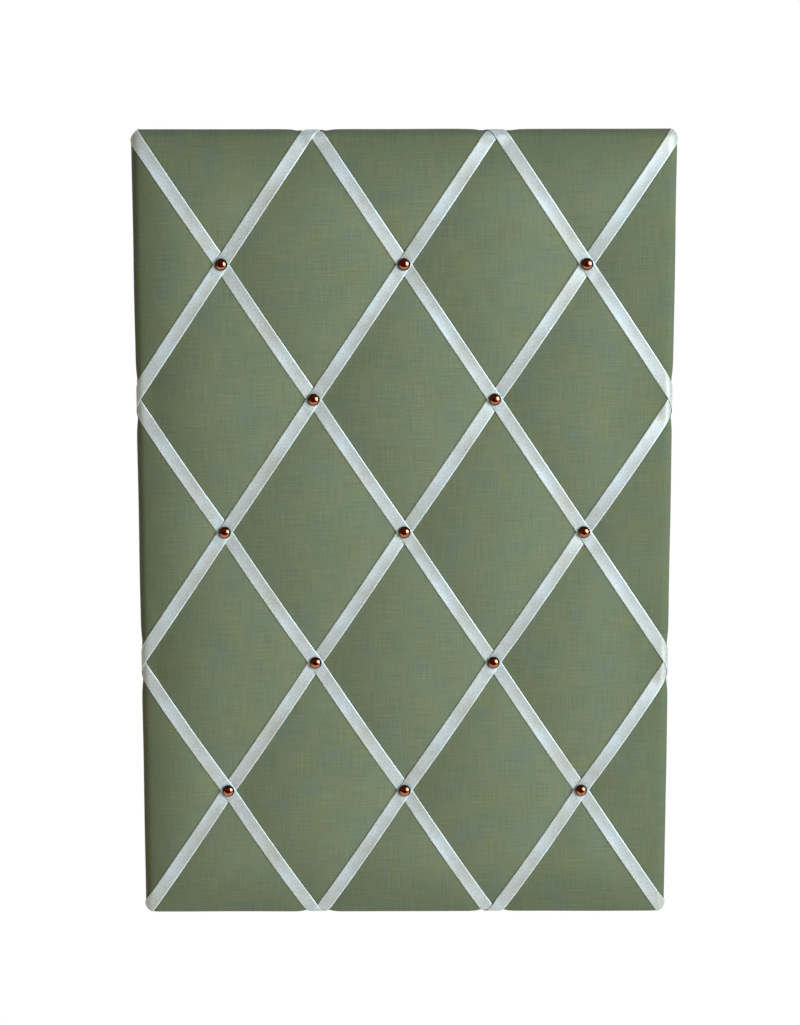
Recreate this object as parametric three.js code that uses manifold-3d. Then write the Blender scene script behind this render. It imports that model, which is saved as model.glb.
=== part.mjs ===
// A French memo board: a fibreboard core under wadding and linen, crossed by two sets of satin ribbons.
// A domed nail pins every crossing, staples hold the ribbon ends behind, and a felt lining hides them and
// carries two D-ring hangers. Millimetres, Z up. The front faces -Y, and the lining's middle lies at Y = 0.

import * as THREE from 'three';
import { mergeVertices } from 'three/addons/utils/BufferGeometryUtils.js';
import Module from 'manifold-3d';

// Core board
const boardWidth = 400;
const boardHeight = 600;
const boardThickness = 12;

// Clearances
const layerGap = 0.3;
const holeClearance = 0.25;
const barClearance = 0.3;
const cutMargin = 1;

// Wadding and cover
const padUnderRibbon = 3.5;
const padCrown = 7;
const padShoulder = 46;
const padOverEdge = 2.4;
const rimRadius = 8;
const cornerEase = 0.6;
const coverThickness = 0.6;
const hemWidth = 24;

// Ribbon lattice: cells each way, and how far past the outline the outer crossings lie
const cells = 3;
const latticeOverhang = 1.6;
const ribbonWidth = 10;
const ribbonThickness = 0.4;
const channelMargin = 0.6;
const channelOvercut = 0.25;
const cornerWrapDegrees = 72;
const crossingRamp = 6;
const tailSettle = 8;
const tailStep = 2;
const tailBeyondHem = 13;

// Domed nails
const headRadius = 4.75;
const headRise = 3.4;
const headWall = 0.5;
const shankRadius = 0.8;
const shankLength = 12.7;
const shankTaper = 3;

// Staples
const stapleCrown = 9;
const stapleWire = 0.6;
const stapleLeg = 6;
const stapleBeyondHem = 8;

// Felt lining
const liningThickness = 1.5;
const liningInset = 12;
const liningLap = 3;
const liningSlope = 8;

// Hangers
const hangerSpacing = 240;
const hangerDrop = 110;
const strapWidth = 9;
const strapThickness = 0.6;
const ringWireRadius = 1.1;
const ringSideGap = 1.4;
const ringLeg = 5;
const ringScrewGap = 1.1;
const screwRadius = 1.5;
const screwLength = 9;
const screwPoint = 3;
const screwHeadRadius = 3.3;
const screwHeadRise = 1.9;
const screwSlotWidth = 0.8;
const screwSlotDepth = 0.9;

// Facets
const rimSteps = 3;
const cornerSteps = 4;
const shoulderSteps = 3;
const cornerRibbonSteps = 6;
const liningPanels = 3;
const wireSides = 8;
const ringSteps = 16;
const loopSteps = 10;
const domeSteps = 4;
const holeSides = 6;
const headSides = 14;
const flatness = 0.002;
const weldDistance = 0.00001;

// Levels, measured from the lining's middle towards the viewer
const boardBack = liningThickness + layerGap;
const boardFront = boardBack + boardThickness;
const channelLevel = boardFront + layerGap + padUnderRibbon;
const roofLevel = channelLevel + padCrown;
const rollLevel = roofLevel - rimRadius;
const hemLevel = boardBack - layerGap - coverThickness;
const coverLift = layerGap + coverThickness;
const ribbonPly = layerGap + ribbonThickness;
const stapleLevel = boardBack - ribbonPly - layerGap - stapleWire;
const liningRise = liningThickness + layerGap - Math.min(stapleLevel, hemLevel - ribbonPly);
const nailLevel = channelLevel + coverLift + 2 * ribbonPly + layerGap;

// Outline of the wadding, and the ribbon lattice over the unfolded cover
const outline = new THREE.Vector2(boardWidth / 2, boardHeight / 2).addScalar(layerGap + padOverEdge);
const cornerRadius = rimRadius + cornerEase;
const latticeHalf = outline.clone().addScalar(coverLift + latticeOverhang);
const pitch = latticeHalf.clone().multiplyScalar(2 / cells);

// The ribbons in the order they are laid: each rises or falls to the right, counted from the corner ribbon
const laying = [
  { set: 'rise', step: 0 },
  { set: 'fall', step: 0 },
  { set: 'fall', step: -1 },
  { set: 'rise', step: -2 },
  { set: 'rise', step: -1 },
  { set: 'fall', step: 1 },
  { set: 'fall', step: -2 },
  { set: 'rise', step: 1 },
  { set: 'rise', step: 2 },
  { set: 'fall', step: 2 },
];

const wasm = await Module();
wasm.setup();

const material = {
  fibreboard: new THREE.MeshStandardMaterial({ color: '#b08f66', roughness: 0.9, metalness: 0 }),
  wadding: new THREE.MeshStandardMaterial({ color: '#ece8de', roughness: 1, metalness: 0 }),
  linen: new THREE.MeshStandardMaterial({ color: '#74816b', roughness: 0.95, metalness: 0 }),
  satin: new THREE.MeshStandardMaterial({ color: '#c6d1cf', roughness: 0.45, metalness: 0 }),
  copper: new THREE.MeshStandardMaterial({ color: '#9a6a52', roughness: 0.25, metalness: 1 }),
  steel: new THREE.MeshStandardMaterial({ color: '#b9bbbc', roughness: 0.4, metalness: 1 }),
  felt: new THREE.MeshStandardMaterial({ color: '#55544f', roughness: 1, metalness: 0 }),
};

// Welds a geometry's shared corners, drops triangles that have no area left, and makes a solid of it
function solidOf(geometry) {
  const bare = new THREE.BufferGeometry();
  bare.setAttribute('position', geometry.getAttribute('position'));
  bare.setIndex(geometry.getIndex());
  const welded = mergeVertices(bare, weldDistance);
  const corners = welded.getIndex().array;
  const triangles = [];
  for (let i = 0; i < corners.length; i += 3) {
    const [a, b, c] = corners.slice(i, i + 3);
    if (a !== b && b !== c && c !== a) triangles.push(a, b, c);
  }
  const mesh = new wasm.Mesh({
    numProp: 3,
    vertProperties: Float32Array.from(welded.getAttribute('position').array),
    triVerts: Uint32Array.from(triangles),
  });
  return new wasm.Manifold(mesh);
}

function geometryOf(solid) {
  const mesh = solid.getMesh();
  const geometry = new THREE.BufferGeometry();
  geometry.setAttribute('position', new THREE.BufferAttribute(mesh.vertProperties, 3));
  geometry.setIndex(new THREE.BufferAttribute(mesh.triVerts, 1));
  geometry.computeVertexNormals();
  return geometry;
}

function add(group, name, geometry, look) {
  const mesh = new THREE.Mesh(geometry, look.clone());
  mesh.name = name;
  group.add(mesh);
  return mesh;
}

function joined(solids) {
  return solids.reduce((whole, solid) => whole.add(solid));
}

// Puts together again the flat faces that cuts have split
function merged(solid) {
  return solid.asOriginal().simplify(flatness);
}

// A box between two levels, centred on x and y
function slab(width, height, low, high) {
  const box = new THREE.BoxGeometry(width, height, high - low);
  return box.translate(0, 0, (low + high) / 2);
}

// An upright rod on the z axis, between two levels
function rod(radius, low, high, sides) {
  const cylinder = new THREE.CylinderGeometry(radius, radius, high - low, sides);
  return cylinder.rotateX(Math.PI / 2).translate(0, 0, (low + high) / 2);
}

// A hole for a round shank, whose flats keep the clearance
function shankHole(radius, low, high) {
  return rod((radius + holeClearance) / Math.cos(Math.PI / holeSides), low, high, holeSides);
}

// A profile of (radius, level) points turned about the z axis
function turned(profile, sides) {
  const points = profile.map(([radius, level]) => new THREE.Vector2(radius, level));
  return new THREE.LatheGeometry(points, sides).rotateX(Math.PI / 2);
}

function roundedRectangle(half, radius) {
  const { x, y } = half;
  const shape = new THREE.Shape();
  shape.absarc(x - radius, y - radius, radius, 0, Math.PI / 2);
  shape.absarc(radius - x, y - radius, radius, Math.PI / 2, Math.PI);
  shape.absarc(radius - x, radius - y, radius, Math.PI, 1.5 * Math.PI);
  shape.absarc(x - radius, radius - y, radius, 1.5 * Math.PI, 2 * Math.PI);
  return shape;
}

// The ribbon lattice

// Each ribbon's line across the board, with the edge or corner that it leaves by at both ends
function ribbonLine({ set, step }) {
  const slope = set === 'rise' ? 1 : -1;
  const direction = new THREE.Vector2(pitch.x, slope * pitch.y).normalize();
  const across = new THREE.Vector2(-direction.y, direction.x);
  const centre = new THREE.Vector2(0, step * pitch.y);
  const first = ribbonEnd(direction.clone().negate(), new THREE.Vector2(-1, -slope), slope * step);
  const last = ribbonEnd(direction, new THREE.Vector2(1, slope), -slope * step);
  const name = `${set}_${cells - slope * step}`;
  return { name, set, step, direction, across, centre, ends: [first, last] };
}

// A ribbon end leaves over a corner, over the left or right edge, or over the top or bottom edge
function ribbonEnd(outward, signs, shift) {
  if (shift === 0) return { outward, corner: signs };
  const normal = shift > 0 ? new THREE.Vector2(signs.x, 0) : new THREE.Vector2(0, signs.y);
  return { outward, normal };
}

const ribbons = laying.map(ribbonLine);

// Every place on the board where a ribbon crosses one of the other set, inside it or at the edge
function crossingsOf(ribbon) {
  const others = ribbons.filter(({ set }) => set !== ribbon.set);
  return others.map((other) => {
    const [rise, fall] = ribbon.set === 'rise' ? [ribbon, other] : [other, ribbon];
    const steps = new THREE.Vector2(fall.step - rise.step, fall.step + rise.step).divideScalar(2);
    const reach = Math.max(Math.abs(steps.x), Math.abs(steps.y));
    const over = ribbons.indexOf(other) < ribbons.indexOf(ribbon);
    return { point: steps.multiply(pitch), other, over, reach, inside: reach < cells / 2 };
  }).filter(({ reach }) => reach <= cells / 2);
}

const nailPoints = ribbons
  .filter(({ set }) => set === 'rise')
  .flatMap(crossingsOf)
  .filter(({ inside }) => inside)
  .map(({ point }) => point)
  .sort((a, b) => b.y - a.y || a.x - b.x);

// The padded form

// The groove that a ribbon presses into the padding: a flat floor, and shoulders that rise to the crown
function channel(ribbon, lift) {
  const floor = channelLevel + lift;
  const side = ribbonWidth / 2 + channelMargin;
  const rise = padCrown + channelOvercut;
  const shoulder = [];
  for (let i = 0; i <= shoulderSteps; i += 1) {
    const angle = (i / shoulderSteps) * (Math.PI / 2);
    const aside = side + padShoulder * (1 - Math.cos(angle));
    shoulder.push(new THREE.Vector2(aside, floor + rise * Math.sin(angle)));
  }
  const outer = shoulder.at(-1);
  const top = outer.y + cutMargin;
  const right = [...shoulder, new THREE.Vector2(outer.x, top)];
  const left = right.map(({ x, y }) => new THREE.Vector2(-x, y)).reverse();
  const length = 2 * (latticeHalf.x + latticeHalf.y);
  const groove = new THREE.ExtrudeGeometry(new THREE.Shape([...right, ...left]), {
    depth: length,
    bevelEnabled: false,
  });
  const { direction, across, centre } = ribbon;
  const frame = new THREE.Matrix4().makeBasis(
    new THREE.Vector3(-across.x, -across.y, 0),
    new THREE.Vector3(0, 0, 1),
    new THREE.Vector3(direction.x, direction.y, 0).negate(),
  );
  const start = direction.clone().multiplyScalar(length / 2).add(centre);
  return groove.applyMatrix4(frame).translate(start.x, start.y, 0);
}

// The padded block with every channel pressed in, grown by a lift and cut flat at the back
function paddedBlock(lift, back) {
  const radius = rimRadius + lift;
  const flat = outline.clone().subScalar(rimRadius);
  const depth = rollLevel - back + cutMargin;
  const block = new THREE.ExtrudeGeometry(roundedRectangle(flat, cornerRadius - rimRadius), {
    depth,
    bevelThickness: radius,
    bevelSize: radius,
    bevelSegments: rimSteps,
    curveSegments: cornerSteps,
  });
  block.translate(0, 0, rollLevel - depth);
  const behind = slab(2 * boardWidth, 2 * boardHeight, back - 2 * (radius + cutMargin), back);
  const cutters = [behind, ...ribbons.map((ribbon) => channel(ribbon, lift))].map(solidOf);
  return merged(cutters.reduce((solid, cutter) => solid.subtract(cutter), solidOf(block)));
}

// Ribbons

// The angle of the rim at which a channel's floor runs into it, for a ribbon lifted off the wadding
function bendAt(lift) {
  return Math.acos((rimRadius - padCrown + lift) / (rimRadius + lift));
}

// The way over the rim on the cover: where the bend starts, the round part, and the whole way to the hem
const bendOut = (rimRadius + coverLift) * Math.sin(bendAt(coverLift)) - rimRadius;
const rollLength = (rimRadius + coverLift) * (Math.PI / 2 - bendAt(coverLift));
const rimLength = rollLength + rollLevel - hemLevel;

// A ribbon's section over the rim, for a distance past the bend where the channel ends:
// how far out from the wadding's outline it lies, and its level
function rimSection(past, lift) {
  const radius = rimRadius + lift;
  const behind = hemLevel - lift + coverLift;
  if (past < 0) return { out: bendOut + past, level: channelLevel + lift };
  if (past > rimLength) return { out: coverLift + rimLength - past, level: behind };
  if (past > rollLength) return { out: lift, level: behind };
  const angle = THREE.MathUtils.lerp(bendAt(lift), Math.PI / 2, past / rollLength);
  return { out: radius * Math.sin(angle) - rimRadius, level: rollLevel + radius * Math.cos(angle) };
}

// A point of a ribbon that leaves over a straight edge, `aside` its centre line and `past` the bend
function edgePoint(ribbon, end, aside, past, lift) {
  const { normal, outward } = end;
  const tangent = new THREE.Vector2(-normal.y, normal.x);
  const half = Math.abs(normal.dot(outline));
  const line = ribbon.across.clone().multiplyScalar(aside).add(ribbon.centre);
  const travel = (half + bendOut + past - line.dot(normal)) / outward.dot(normal);
  const along = outward.clone().multiplyScalar(travel).add(line).dot(tangent);
  const section = rimSection(past, lift);
  const point = normal.clone().multiplyScalar(half + section.out).addScaledVector(tangent, along);
  return new THREE.Vector3(point.x, point.y, section.level);
}

// The same over a rounded corner, where the strips of the ribbon run down the corner side by side
function cornerPoint(ribbon, end, aside, past, lift) {
  const { corner, outward } = end;
  const centre = outline.clone().subScalar(cornerRadius).multiply(corner);
  const left = new THREE.Vector2(-outward.y, outward.x);
  const line = ribbon.across.clone().multiplyScalar(aside).add(ribbon.centre);
  const sideways = line.sub(centre).dot(left) / (cornerRadius + bendOut);
  const widest = Math.sin(THREE.MathUtils.degToRad(cornerWrapDegrees));
  const angle = outward.angle() + Math.asin(THREE.MathUtils.clamp(sideways, -widest, widest));
  const section = rimSection(Math.min(past, rimLength), lift);
  const reach = cornerRadius + section.out;
  const point = new THREE.Vector2(Math.cos(angle), Math.sin(angle)).multiplyScalar(reach).add(centre);
  point.addScaledVector(corner, Math.min(0, rimLength - past));
  return new THREE.Vector3(point.x, point.y, section.level);
}

function endPoint(ribbon, end, aside, past, lift) {
  const place = end.corner ? cornerPoint : edgePoint;
  return place(ribbon, end, aside, past, lift);
}

// The rows of a ribbon end, from the front to the tail. It is raised where it lies over its neighbour at the
// edge, and behind it steps down from the hem to the board.
function endRows(ribbon, end) {
  const rows = [];
  let raise = 0;
  if (end.normal && edgeCrossing(ribbon, end).over) {
    raise = ribbonPly;
    const lap = ribbonWidth / 2 / Math.abs(ribbon.across.dot(end.normal)) + channelMargin;
    const start = coverLift + latticeOverhang - bendOut - lap;
    rows.push([start - crossingRamp, 0], [start, raise]);
  }
  const hemEdge = rimLength + hemWidth;
  rows.push([0, raise], [rollLength / 2, raise], [rollLength, raise], [rimLength, raise]);
  rows.push([rimLength + tailSettle, 0], [hemEdge + tailStep, 0]);
  rows.push([hemEdge + 2 * tailStep, -coverLift], [hemEdge + tailBeyondHem, -coverLift]);
  return rows.map(([past, lift]) => (aside, ply) => endPoint(ribbon, end, aside, past, lift + ply));
}

// The crossing at the edge that a ribbon leaves by
function edgeCrossing(ribbon, { normal }) {
  const half = Math.abs(normal.dot(latticeHalf));
  return crossingsOf(ribbon).find(({ point }) => Math.abs(point.dot(normal) - half) < ribbonWidth);
}

// The rows where a ribbon climbs over another at a nail, parallel to the lower ribbon
function crossingRows(ribbon, { point, other }) {
  const { direction, across, centre } = ribbon;
  const lean = direction.dot(other.direction) / across.dot(other.direction);
  const lap = (ribbonWidth / 2 + channelMargin) / Math.abs(across.dot(other.direction));
  const middle = point.clone().sub(centre).dot(direction);
  const steps = [
    [-lap - crossingRamp, 0],
    [-lap, ribbonPly],
    [lap, ribbonPly],
    [lap + crossingRamp, 0],
  ];
  return steps.map(([step, lift]) => (aside, ply) => {
    const spot = centre.clone().addScaledVector(direction, middle + step + aside * lean);
    spot.addScaledVector(across, aside);
    return new THREE.Vector3(spot.x, spot.y, channelLevel + lift + ply);
  });
}

// A closed strip through rows of points, from its underside to its face
function ribbonGeometry(ribbon) {
  const [first, last] = ribbon.ends;
  const strips = first.corner ? cornerRibbonSteps : 1;
  const middles = crossingsOf(ribbon)
    .filter(({ inside, over }) => inside && over)
    .sort((a, b) => a.point.dot(ribbon.direction) - b.point.dot(ribbon.direction))
    .flatMap((meeting) => crossingRows(ribbon, meeting));
  const rows = [...endRows(ribbon, first).reverse(), ...middles, ...endRows(ribbon, last)];
  const underside = coverLift + layerGap;
  const positions = [];
  for (const row of rows) {
    for (let j = 0; j <= strips; j += 1) {
      const aside = (j / strips - 0.5) * ribbonWidth;
      positions.push(...row(aside, underside).toArray());
      positions.push(...row(aside, underside + ribbonThickness).toArray());
    }
  }
  const under = (i, j) => 2 * (i * (strips + 1) + j);
  const face = (i, j) => under(i, j) + 1;
  const index = [];
  const quad = (a, b, c, d) => index.push(a, b, c, a, c, d);
  const end = rows.length - 1;
  for (let i = 0; i < end; i += 1) {
    for (let j = 0; j < strips; j += 1) {
      quad(face(i, j), face(i + 1, j), face(i + 1, j + 1), face(i, j + 1));
      quad(under(i, j), under(i, j + 1), under(i + 1, j + 1), under(i + 1, j));
    }
    quad(under(i, 0), under(i + 1, 0), face(i + 1, 0), face(i, 0));
    quad(under(i, strips), face(i, strips), face(i + 1, strips), under(i + 1, strips));
  }
  for (let j = 0; j < strips; j += 1) {
    quad(under(0, j), face(0, j), face(0, j + 1), under(0, j + 1));
    quad(under(end, j), under(end, j + 1), face(end, j + 1), face(end, j));
  }
  const geometry = new THREE.BufferGeometry();
  geometry.setAttribute('position', new THREE.Float32BufferAttribute(positions, 3));
  geometry.setIndex(index);
  return geometry;
}

// Nails and staples

function nailGeometry() {
  const inner = headRadius - headWall;
  const hollow = headRise - headWall;
  const profile = [[0, -shankLength], [shankRadius, shankTaper - shankLength]];
  const start = Math.asin(shankRadius / inner);
  for (let i = 0; i < domeSteps; i += 1) {
    const angle = THREE.MathUtils.lerp(start, Math.PI / 2, i / (domeSteps - 1));
    profile.push([inner * Math.sin(angle), hollow * Math.cos(angle)]);
  }
  for (let i = domeSteps; i > 0; i -= 1) {
    const angle = (i / domeSteps) * (Math.PI / 2);
    profile.push([headRadius * Math.sin(angle), headRise * Math.cos(angle)]);
  }
  profile.push([0, headRise]);
  return turned(profile, headSides);
}

// A staple lying on the z axis with its crown along x, its back at level 0 and its legs pointing up
function stapleGeometry() {
  const half = stapleCrown / 2;
  const inner = half - stapleWire;
  const shape = new THREE.Shape();
  shape.moveTo(-half, 0).lineTo(half, 0).lineTo(half, stapleLeg);
  shape.lineTo(inner, stapleLeg).lineTo(inner, stapleWire);
  shape.lineTo(-inner, stapleWire).lineTo(-inner, stapleLeg).lineTo(-half, stapleLeg);
  const wire = new THREE.ExtrudeGeometry(shape, { depth: stapleWire, bevelEnabled: false });
  return wire.translate(0, 0, -stapleWire / 2).rotateX(Math.PI / 2);
}

// Where each ribbon tail is stapled to the board: beyond the hem, square to the edge or corner it comes over
const staples = ribbons.flatMap((ribbon) => ribbon.ends.map((end, i) => {
  const name = `staple_${ribbon.name}_${['left', 'right'][i]}`;
  const spot = endPoint(ribbon, end, 0, rimLength + hemWidth + stapleBeyondHem, 0);
  const turn = (end.normal ?? end.corner).angle() + Math.PI / 2;
  return { name, ribbon, spot, turn };
}));

// The two holes that a staple's legs need through the ribbon and into the board
function stapleHoles({ spot, turn }) {
  const width = stapleWire + 2 * holeClearance;
  const middle = (stapleCrown - stapleWire) / 2;
  return [-middle, middle].map((x) => {
    const hole = slab(width, width, stapleLevel + stapleWire, stapleLevel + stapleLeg + holeClearance);
    return solidOf(hole.translate(x, 0, 0).rotateZ(turn).translate(spot.x, spot.y, 0));
  });
}

function nailHole({ x, y }) {
  const deepest = nailLevel - shankLength - layerGap;
  return solidOf(shankHole(shankRadius, deepest, nailLevel).translate(x, y, 0));
}

const nailHoles = joined(nailPoints.map(nailHole));
const legHoles = joined(staples.flatMap(stapleHoles));

// Hangers, drawn as they lie on the lining with z away from the board

const loopRadius = ringWireRadius + barClearance;
const barLevel = layerGap + loopRadius + strapThickness;
const hangerSpots = [-hangerSpacing / 2, hangerSpacing / 2].map(
  (x) => new THREE.Vector2(x, boardHeight / 2 - hangerDrop),
);
const strapFace = layerGap + 2 * strapThickness;
const ringHalfWidth = strapWidth / 2 + ringSideGap + ringWireRadius;
const ringReach = ringLeg + ringHalfWidth;
const ringLean = Math.asin((strapFace + layerGap + ringWireRadius - barLevel) / ringReach);
const strapReach = ringReach + ringWireRadius + ringScrewGap + screwHeadRadius;

// A strip folded double round the ring's bar and pressed flat below it, with a round end at the screw
function strapGeometry() {
  const outer = loopRadius + strapThickness;
  const foldBack = strapFace - barLevel;
  const meets = Math.asin(foldBack / outer);
  const side = new THREE.Shape();
  const end = -strapReach - strapWidth;
  side.moveTo(end, -outer).lineTo(0, -outer);
  side.absarc(0, 0, outer, -Math.PI / 2, Math.PI - meets);
  side.lineTo(end, foldBack);
  side.holes.push(new THREE.Path().absarc(0, 0, loopRadius, 0, 2 * Math.PI));
  const strip = new THREE.ExtrudeGeometry(side, {
    depth: strapWidth,
    bevelEnabled: false,
    curveSegments: loopSteps,
  });
  const frame = new THREE.Matrix4().makeBasis(
    new THREE.Vector3(0, 1, 0),
    new THREE.Vector3(0, 0, 1),
    new THREE.Vector3(1, 0, 0),
  );
  strip.applyMatrix4(frame).translate(-strapWidth / 2, 0, barLevel);
  const half = strapWidth / 2;
  const beyond = outer + cutMargin;
  const plan = new THREE.Shape();
  plan.moveTo(half, beyond).lineTo(-half, beyond).lineTo(-half, -strapReach);
  plan.absarc(0, -strapReach, half, Math.PI, 2 * Math.PI);
  const top = barLevel + beyond;
  const bound = new THREE.ExtrudeGeometry(plan, {
    depth: top + cutMargin,
    bevelEnabled: false,
    curveSegments: loopSteps,
  });
  bound.translate(0, 0, -cutMargin);
  const hole = shankHole(screwRadius, -cutMargin, top).translate(0, -strapReach, 0);
  return geometryOf(solidOf(strip).intersect(solidOf(bound)).subtract(solidOf(hole)));
}

// The open loop of a ring: a leg down from the bar, a half round, and a leg up again
class RingLoop extends THREE.Curve {
  getPoint(t, target = new THREE.Vector3()) {
    const round = Math.PI * ringHalfWidth;
    const travel = t * (2 * ringLeg + round);
    if (travel < ringLeg) return target.set(ringHalfWidth, -travel, 0);
    if (travel > ringLeg + round) return target.set(-ringHalfWidth, travel - 2 * ringLeg - round, 0);
    const angle = (travel - ringLeg) / ringHalfWidth;
    return target.set(ringHalfWidth * Math.cos(angle), -ringLeg - ringHalfWidth * Math.sin(angle), 0);
  }
}

function ringGeometry() {
  const section = new THREE.Shape().absarc(0, 0, ringWireRadius, 0, 2 * Math.PI);
  const loop = new THREE.ExtrudeGeometry(section, {
    steps: ringSteps,
    curveSegments: wireSides,
    extrudePath: new RingLoop(),
  });
  const bar = rod(ringWireRadius, -ringHalfWidth, ringHalfWidth, wireSides).rotateY(Math.PI / 2);
  const ends = [-ringHalfWidth, ringHalfWidth].map((x) => {
    const ball = new THREE.SphereGeometry(ringWireRadius, wireSides, wireSides / 2);
    return solidOf(ball.translate(x, 0, 0));
  });
  return geometryOf(joined([solidOf(loop), solidOf(bar), ...ends]));
}

function screwGeometry() {
  const profile = [
    [0, -screwLength],
    [screwRadius, screwPoint - screwLength],
    [screwRadius, 0],
    [screwHeadRadius, 0],
  ];
  for (let i = 1; i < domeSteps; i += 1) {
    const angle = (i / domeSteps) * (Math.PI / 2);
    profile.push([screwHeadRadius * Math.cos(angle), screwHeadRise * Math.sin(angle)]);
  }
  profile.push([0, screwHeadRise]);
  const slotFloor = screwHeadRise - screwSlotDepth;
  const slot = slab(2 * screwHeadRadius + cutMargin, screwSlotWidth, slotFloor, screwHeadRise + cutMargin);
  return geometryOf(solidOf(turned(profile, headSides)).subtract(solidOf(slot)));
}

// The hole behind each hanger screw, through the lining and into the board
const screwHoles = joined(hangerSpots.map(({ x, y }) => {
  const deepest = screwLength - strapFace;
  return solidOf(shankHole(screwRadius, -cutMargin, deepest).translate(x, y - strapReach, 0));
}));

// Felt lining: raised round the border over the hem, the ribbon tails and the staples, flat in the middle

function liningGeometry() {
  const half = new THREE.Vector2(boardWidth / 2, boardHeight / 2).subScalar(liningInset);
  const edge = layerGap + padOverEdge + coverLift;
  const lap = hemWidth + tailBeyondHem + liningLap - edge - liningInset;
  const slope = lap + liningSlope;
  const lines = (reach) => {
    const inner = reach - slope;
    const panels = [];
    for (let i = 0; i <= liningPanels; i += 1) panels.push(inner * (2 * i / liningPanels - 1));
    return [-reach, lap - reach, ...panels, reach - lap, reach];
  };
  const columns = lines(half.x);
  const rows = lines(half.y);
  const dip = (x, y) => {
    const inset = Math.min(half.x - Math.abs(x), half.y - Math.abs(y));
    return -liningRise * THREE.MathUtils.clamp((slope - inset) / liningSlope, 0, 1);
  };
  const sheet = new THREE.BoxGeometry(1, 1, liningThickness, columns.length - 1, rows.length - 1, 1);
  const position = sheet.getAttribute('position');
  for (let i = 0; i < position.count; i += 1) {
    const x = columns[Math.round((position.getX(i) + 0.5) * (columns.length - 1))];
    const y = rows[Math.round((position.getY(i) + 0.5) * (rows.length - 1))];
    position.setXYZ(i, x, y, position.getZ(i) + liningThickness / 2 + dip(x, y));
  }
  return geometryOf(solidOf(sheet).subtract(screwHoles));
}

// The assembly, drawn with x to the right, y up and z towards the viewer, then stood up with Z up

const board = new THREE.Group();
board.name = 'french_memo_board';
board.rotation.x = Math.PI / 2;

const core = solidOf(slab(boardWidth, boardHeight, boardBack, boardFront));
const drilled = core.subtract(joined([nailHoles, legHoles, screwHoles]));
add(board, 'backboard', geometryOf(drilled), material.fibreboard);

const pocketWidth = boardWidth + 2 * layerGap;
const pocketHeight = boardHeight + 2 * layerGap;
const pocket = solidOf(slab(pocketWidth, pocketHeight, boardBack - cutMargin, boardFront + layerGap));
const wadding = paddedBlock(0, boardBack).subtract(joined([pocket, nailHoles]));
add(board, 'wadding', geometryOf(merged(wadding)), material.wadding);

const hemOpening = outline.clone().addScalar(coverLift - hemWidth).multiplyScalar(2);
const opening = solidOf(slab(hemOpening.x, hemOpening.y, hemLevel - cutMargin, boardBack));
const filling = joined([paddedBlock(layerGap, boardBack - layerGap), opening, nailHoles]);
const cover = merged(paddedBlock(coverLift, hemLevel).subtract(filling));
add(board, 'cover_linen', geometryOf(cover), material.linen);

for (const ribbon of ribbons) {
  const ownHoles = staples.filter((staple) => staple.ribbon === ribbon).flatMap(stapleHoles);
  const solid = solidOf(ribbonGeometry(ribbon)).subtract(joined([nailHoles, ...ownHoles]));
  add(board, `ribbon_${ribbon.name}`, geometryOf(merged(solid)), material.satin);
}

nailPoints.forEach(({ x, y }, i) => {
  const nail = add(board, `nail_${i + 1}`, geometryOf(solidOf(nailGeometry())), material.copper);
  nail.position.set(x, y, nailLevel);
});

for (const { name, spot, turn } of staples) {
  const staple = add(board, name, geometryOf(solidOf(stapleGeometry())), material.steel);
  staple.position.set(spot.x, spot.y, stapleLevel);
  staple.rotation.z = turn;
}

add(board, 'back_lining', liningGeometry(), material.felt);

hangerSpots.forEach(({ x, y }, i) => {
  const side = ['left', 'right'][i];
  const hanger = new THREE.Group();
  hanger.position.set(x, y, 0);
  hanger.rotation.y = Math.PI;
  add(hanger, `hanger_strap_${side}`, strapGeometry(), material.steel);
  const ring = add(hanger, `hanger_ring_${side}`, ringGeometry(), material.steel);
  ring.position.z = barLevel;
  ring.rotation.x = -ringLean;
  const screw = add(hanger, `hanger_screw_${side}`, screwGeometry(), material.steel);
  screw.position.set(0, -strapReach, strapFace + layerGap);
  board.add(hanger);
});

export default board;
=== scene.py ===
"""A French memo board: linen over wadding, crossed satin ribbons, copper nails, a felt-lined back.

Shapes are worked out in panel coordinates, in metres: x to the viewer's right, y up the board and
z out of its front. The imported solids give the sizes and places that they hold.
"""

import itertools
import logging
import math
from dataclasses import dataclass, field, replace
from enum import Enum
from typing import Any, Iterator, Mapping, Sequence

import bmesh
import bpy
import numpy as np
from mathutils import Matrix, Vector, noise


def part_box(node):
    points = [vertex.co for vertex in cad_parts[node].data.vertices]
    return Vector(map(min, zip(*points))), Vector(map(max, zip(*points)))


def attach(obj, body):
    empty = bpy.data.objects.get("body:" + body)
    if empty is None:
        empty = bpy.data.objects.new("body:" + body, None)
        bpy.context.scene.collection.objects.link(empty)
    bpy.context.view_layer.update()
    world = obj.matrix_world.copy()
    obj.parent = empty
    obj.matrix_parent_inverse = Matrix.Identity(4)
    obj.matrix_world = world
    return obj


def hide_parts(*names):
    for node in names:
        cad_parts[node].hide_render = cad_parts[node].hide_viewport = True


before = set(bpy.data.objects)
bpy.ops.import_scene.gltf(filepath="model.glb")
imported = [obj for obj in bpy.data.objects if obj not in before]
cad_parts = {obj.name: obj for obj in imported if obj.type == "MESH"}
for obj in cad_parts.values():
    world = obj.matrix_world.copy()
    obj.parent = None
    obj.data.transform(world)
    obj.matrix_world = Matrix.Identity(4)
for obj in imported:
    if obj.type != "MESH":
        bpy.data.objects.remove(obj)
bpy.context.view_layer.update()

Piece = bpy.types.Object
Shape = bmesh.types.BMesh
Nodes = bpy.types.NodeTree
Socket = bpy.types.NodeSocket

MM = 0.001
# How close points are that become one: in folded cloth, on a turned form's axis, in a bent wire
FOLD_MERGE = 0.02 * MM
POLE_MERGE = 0.005 * MM
WIRE_MERGE = 0.002 * MM
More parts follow.
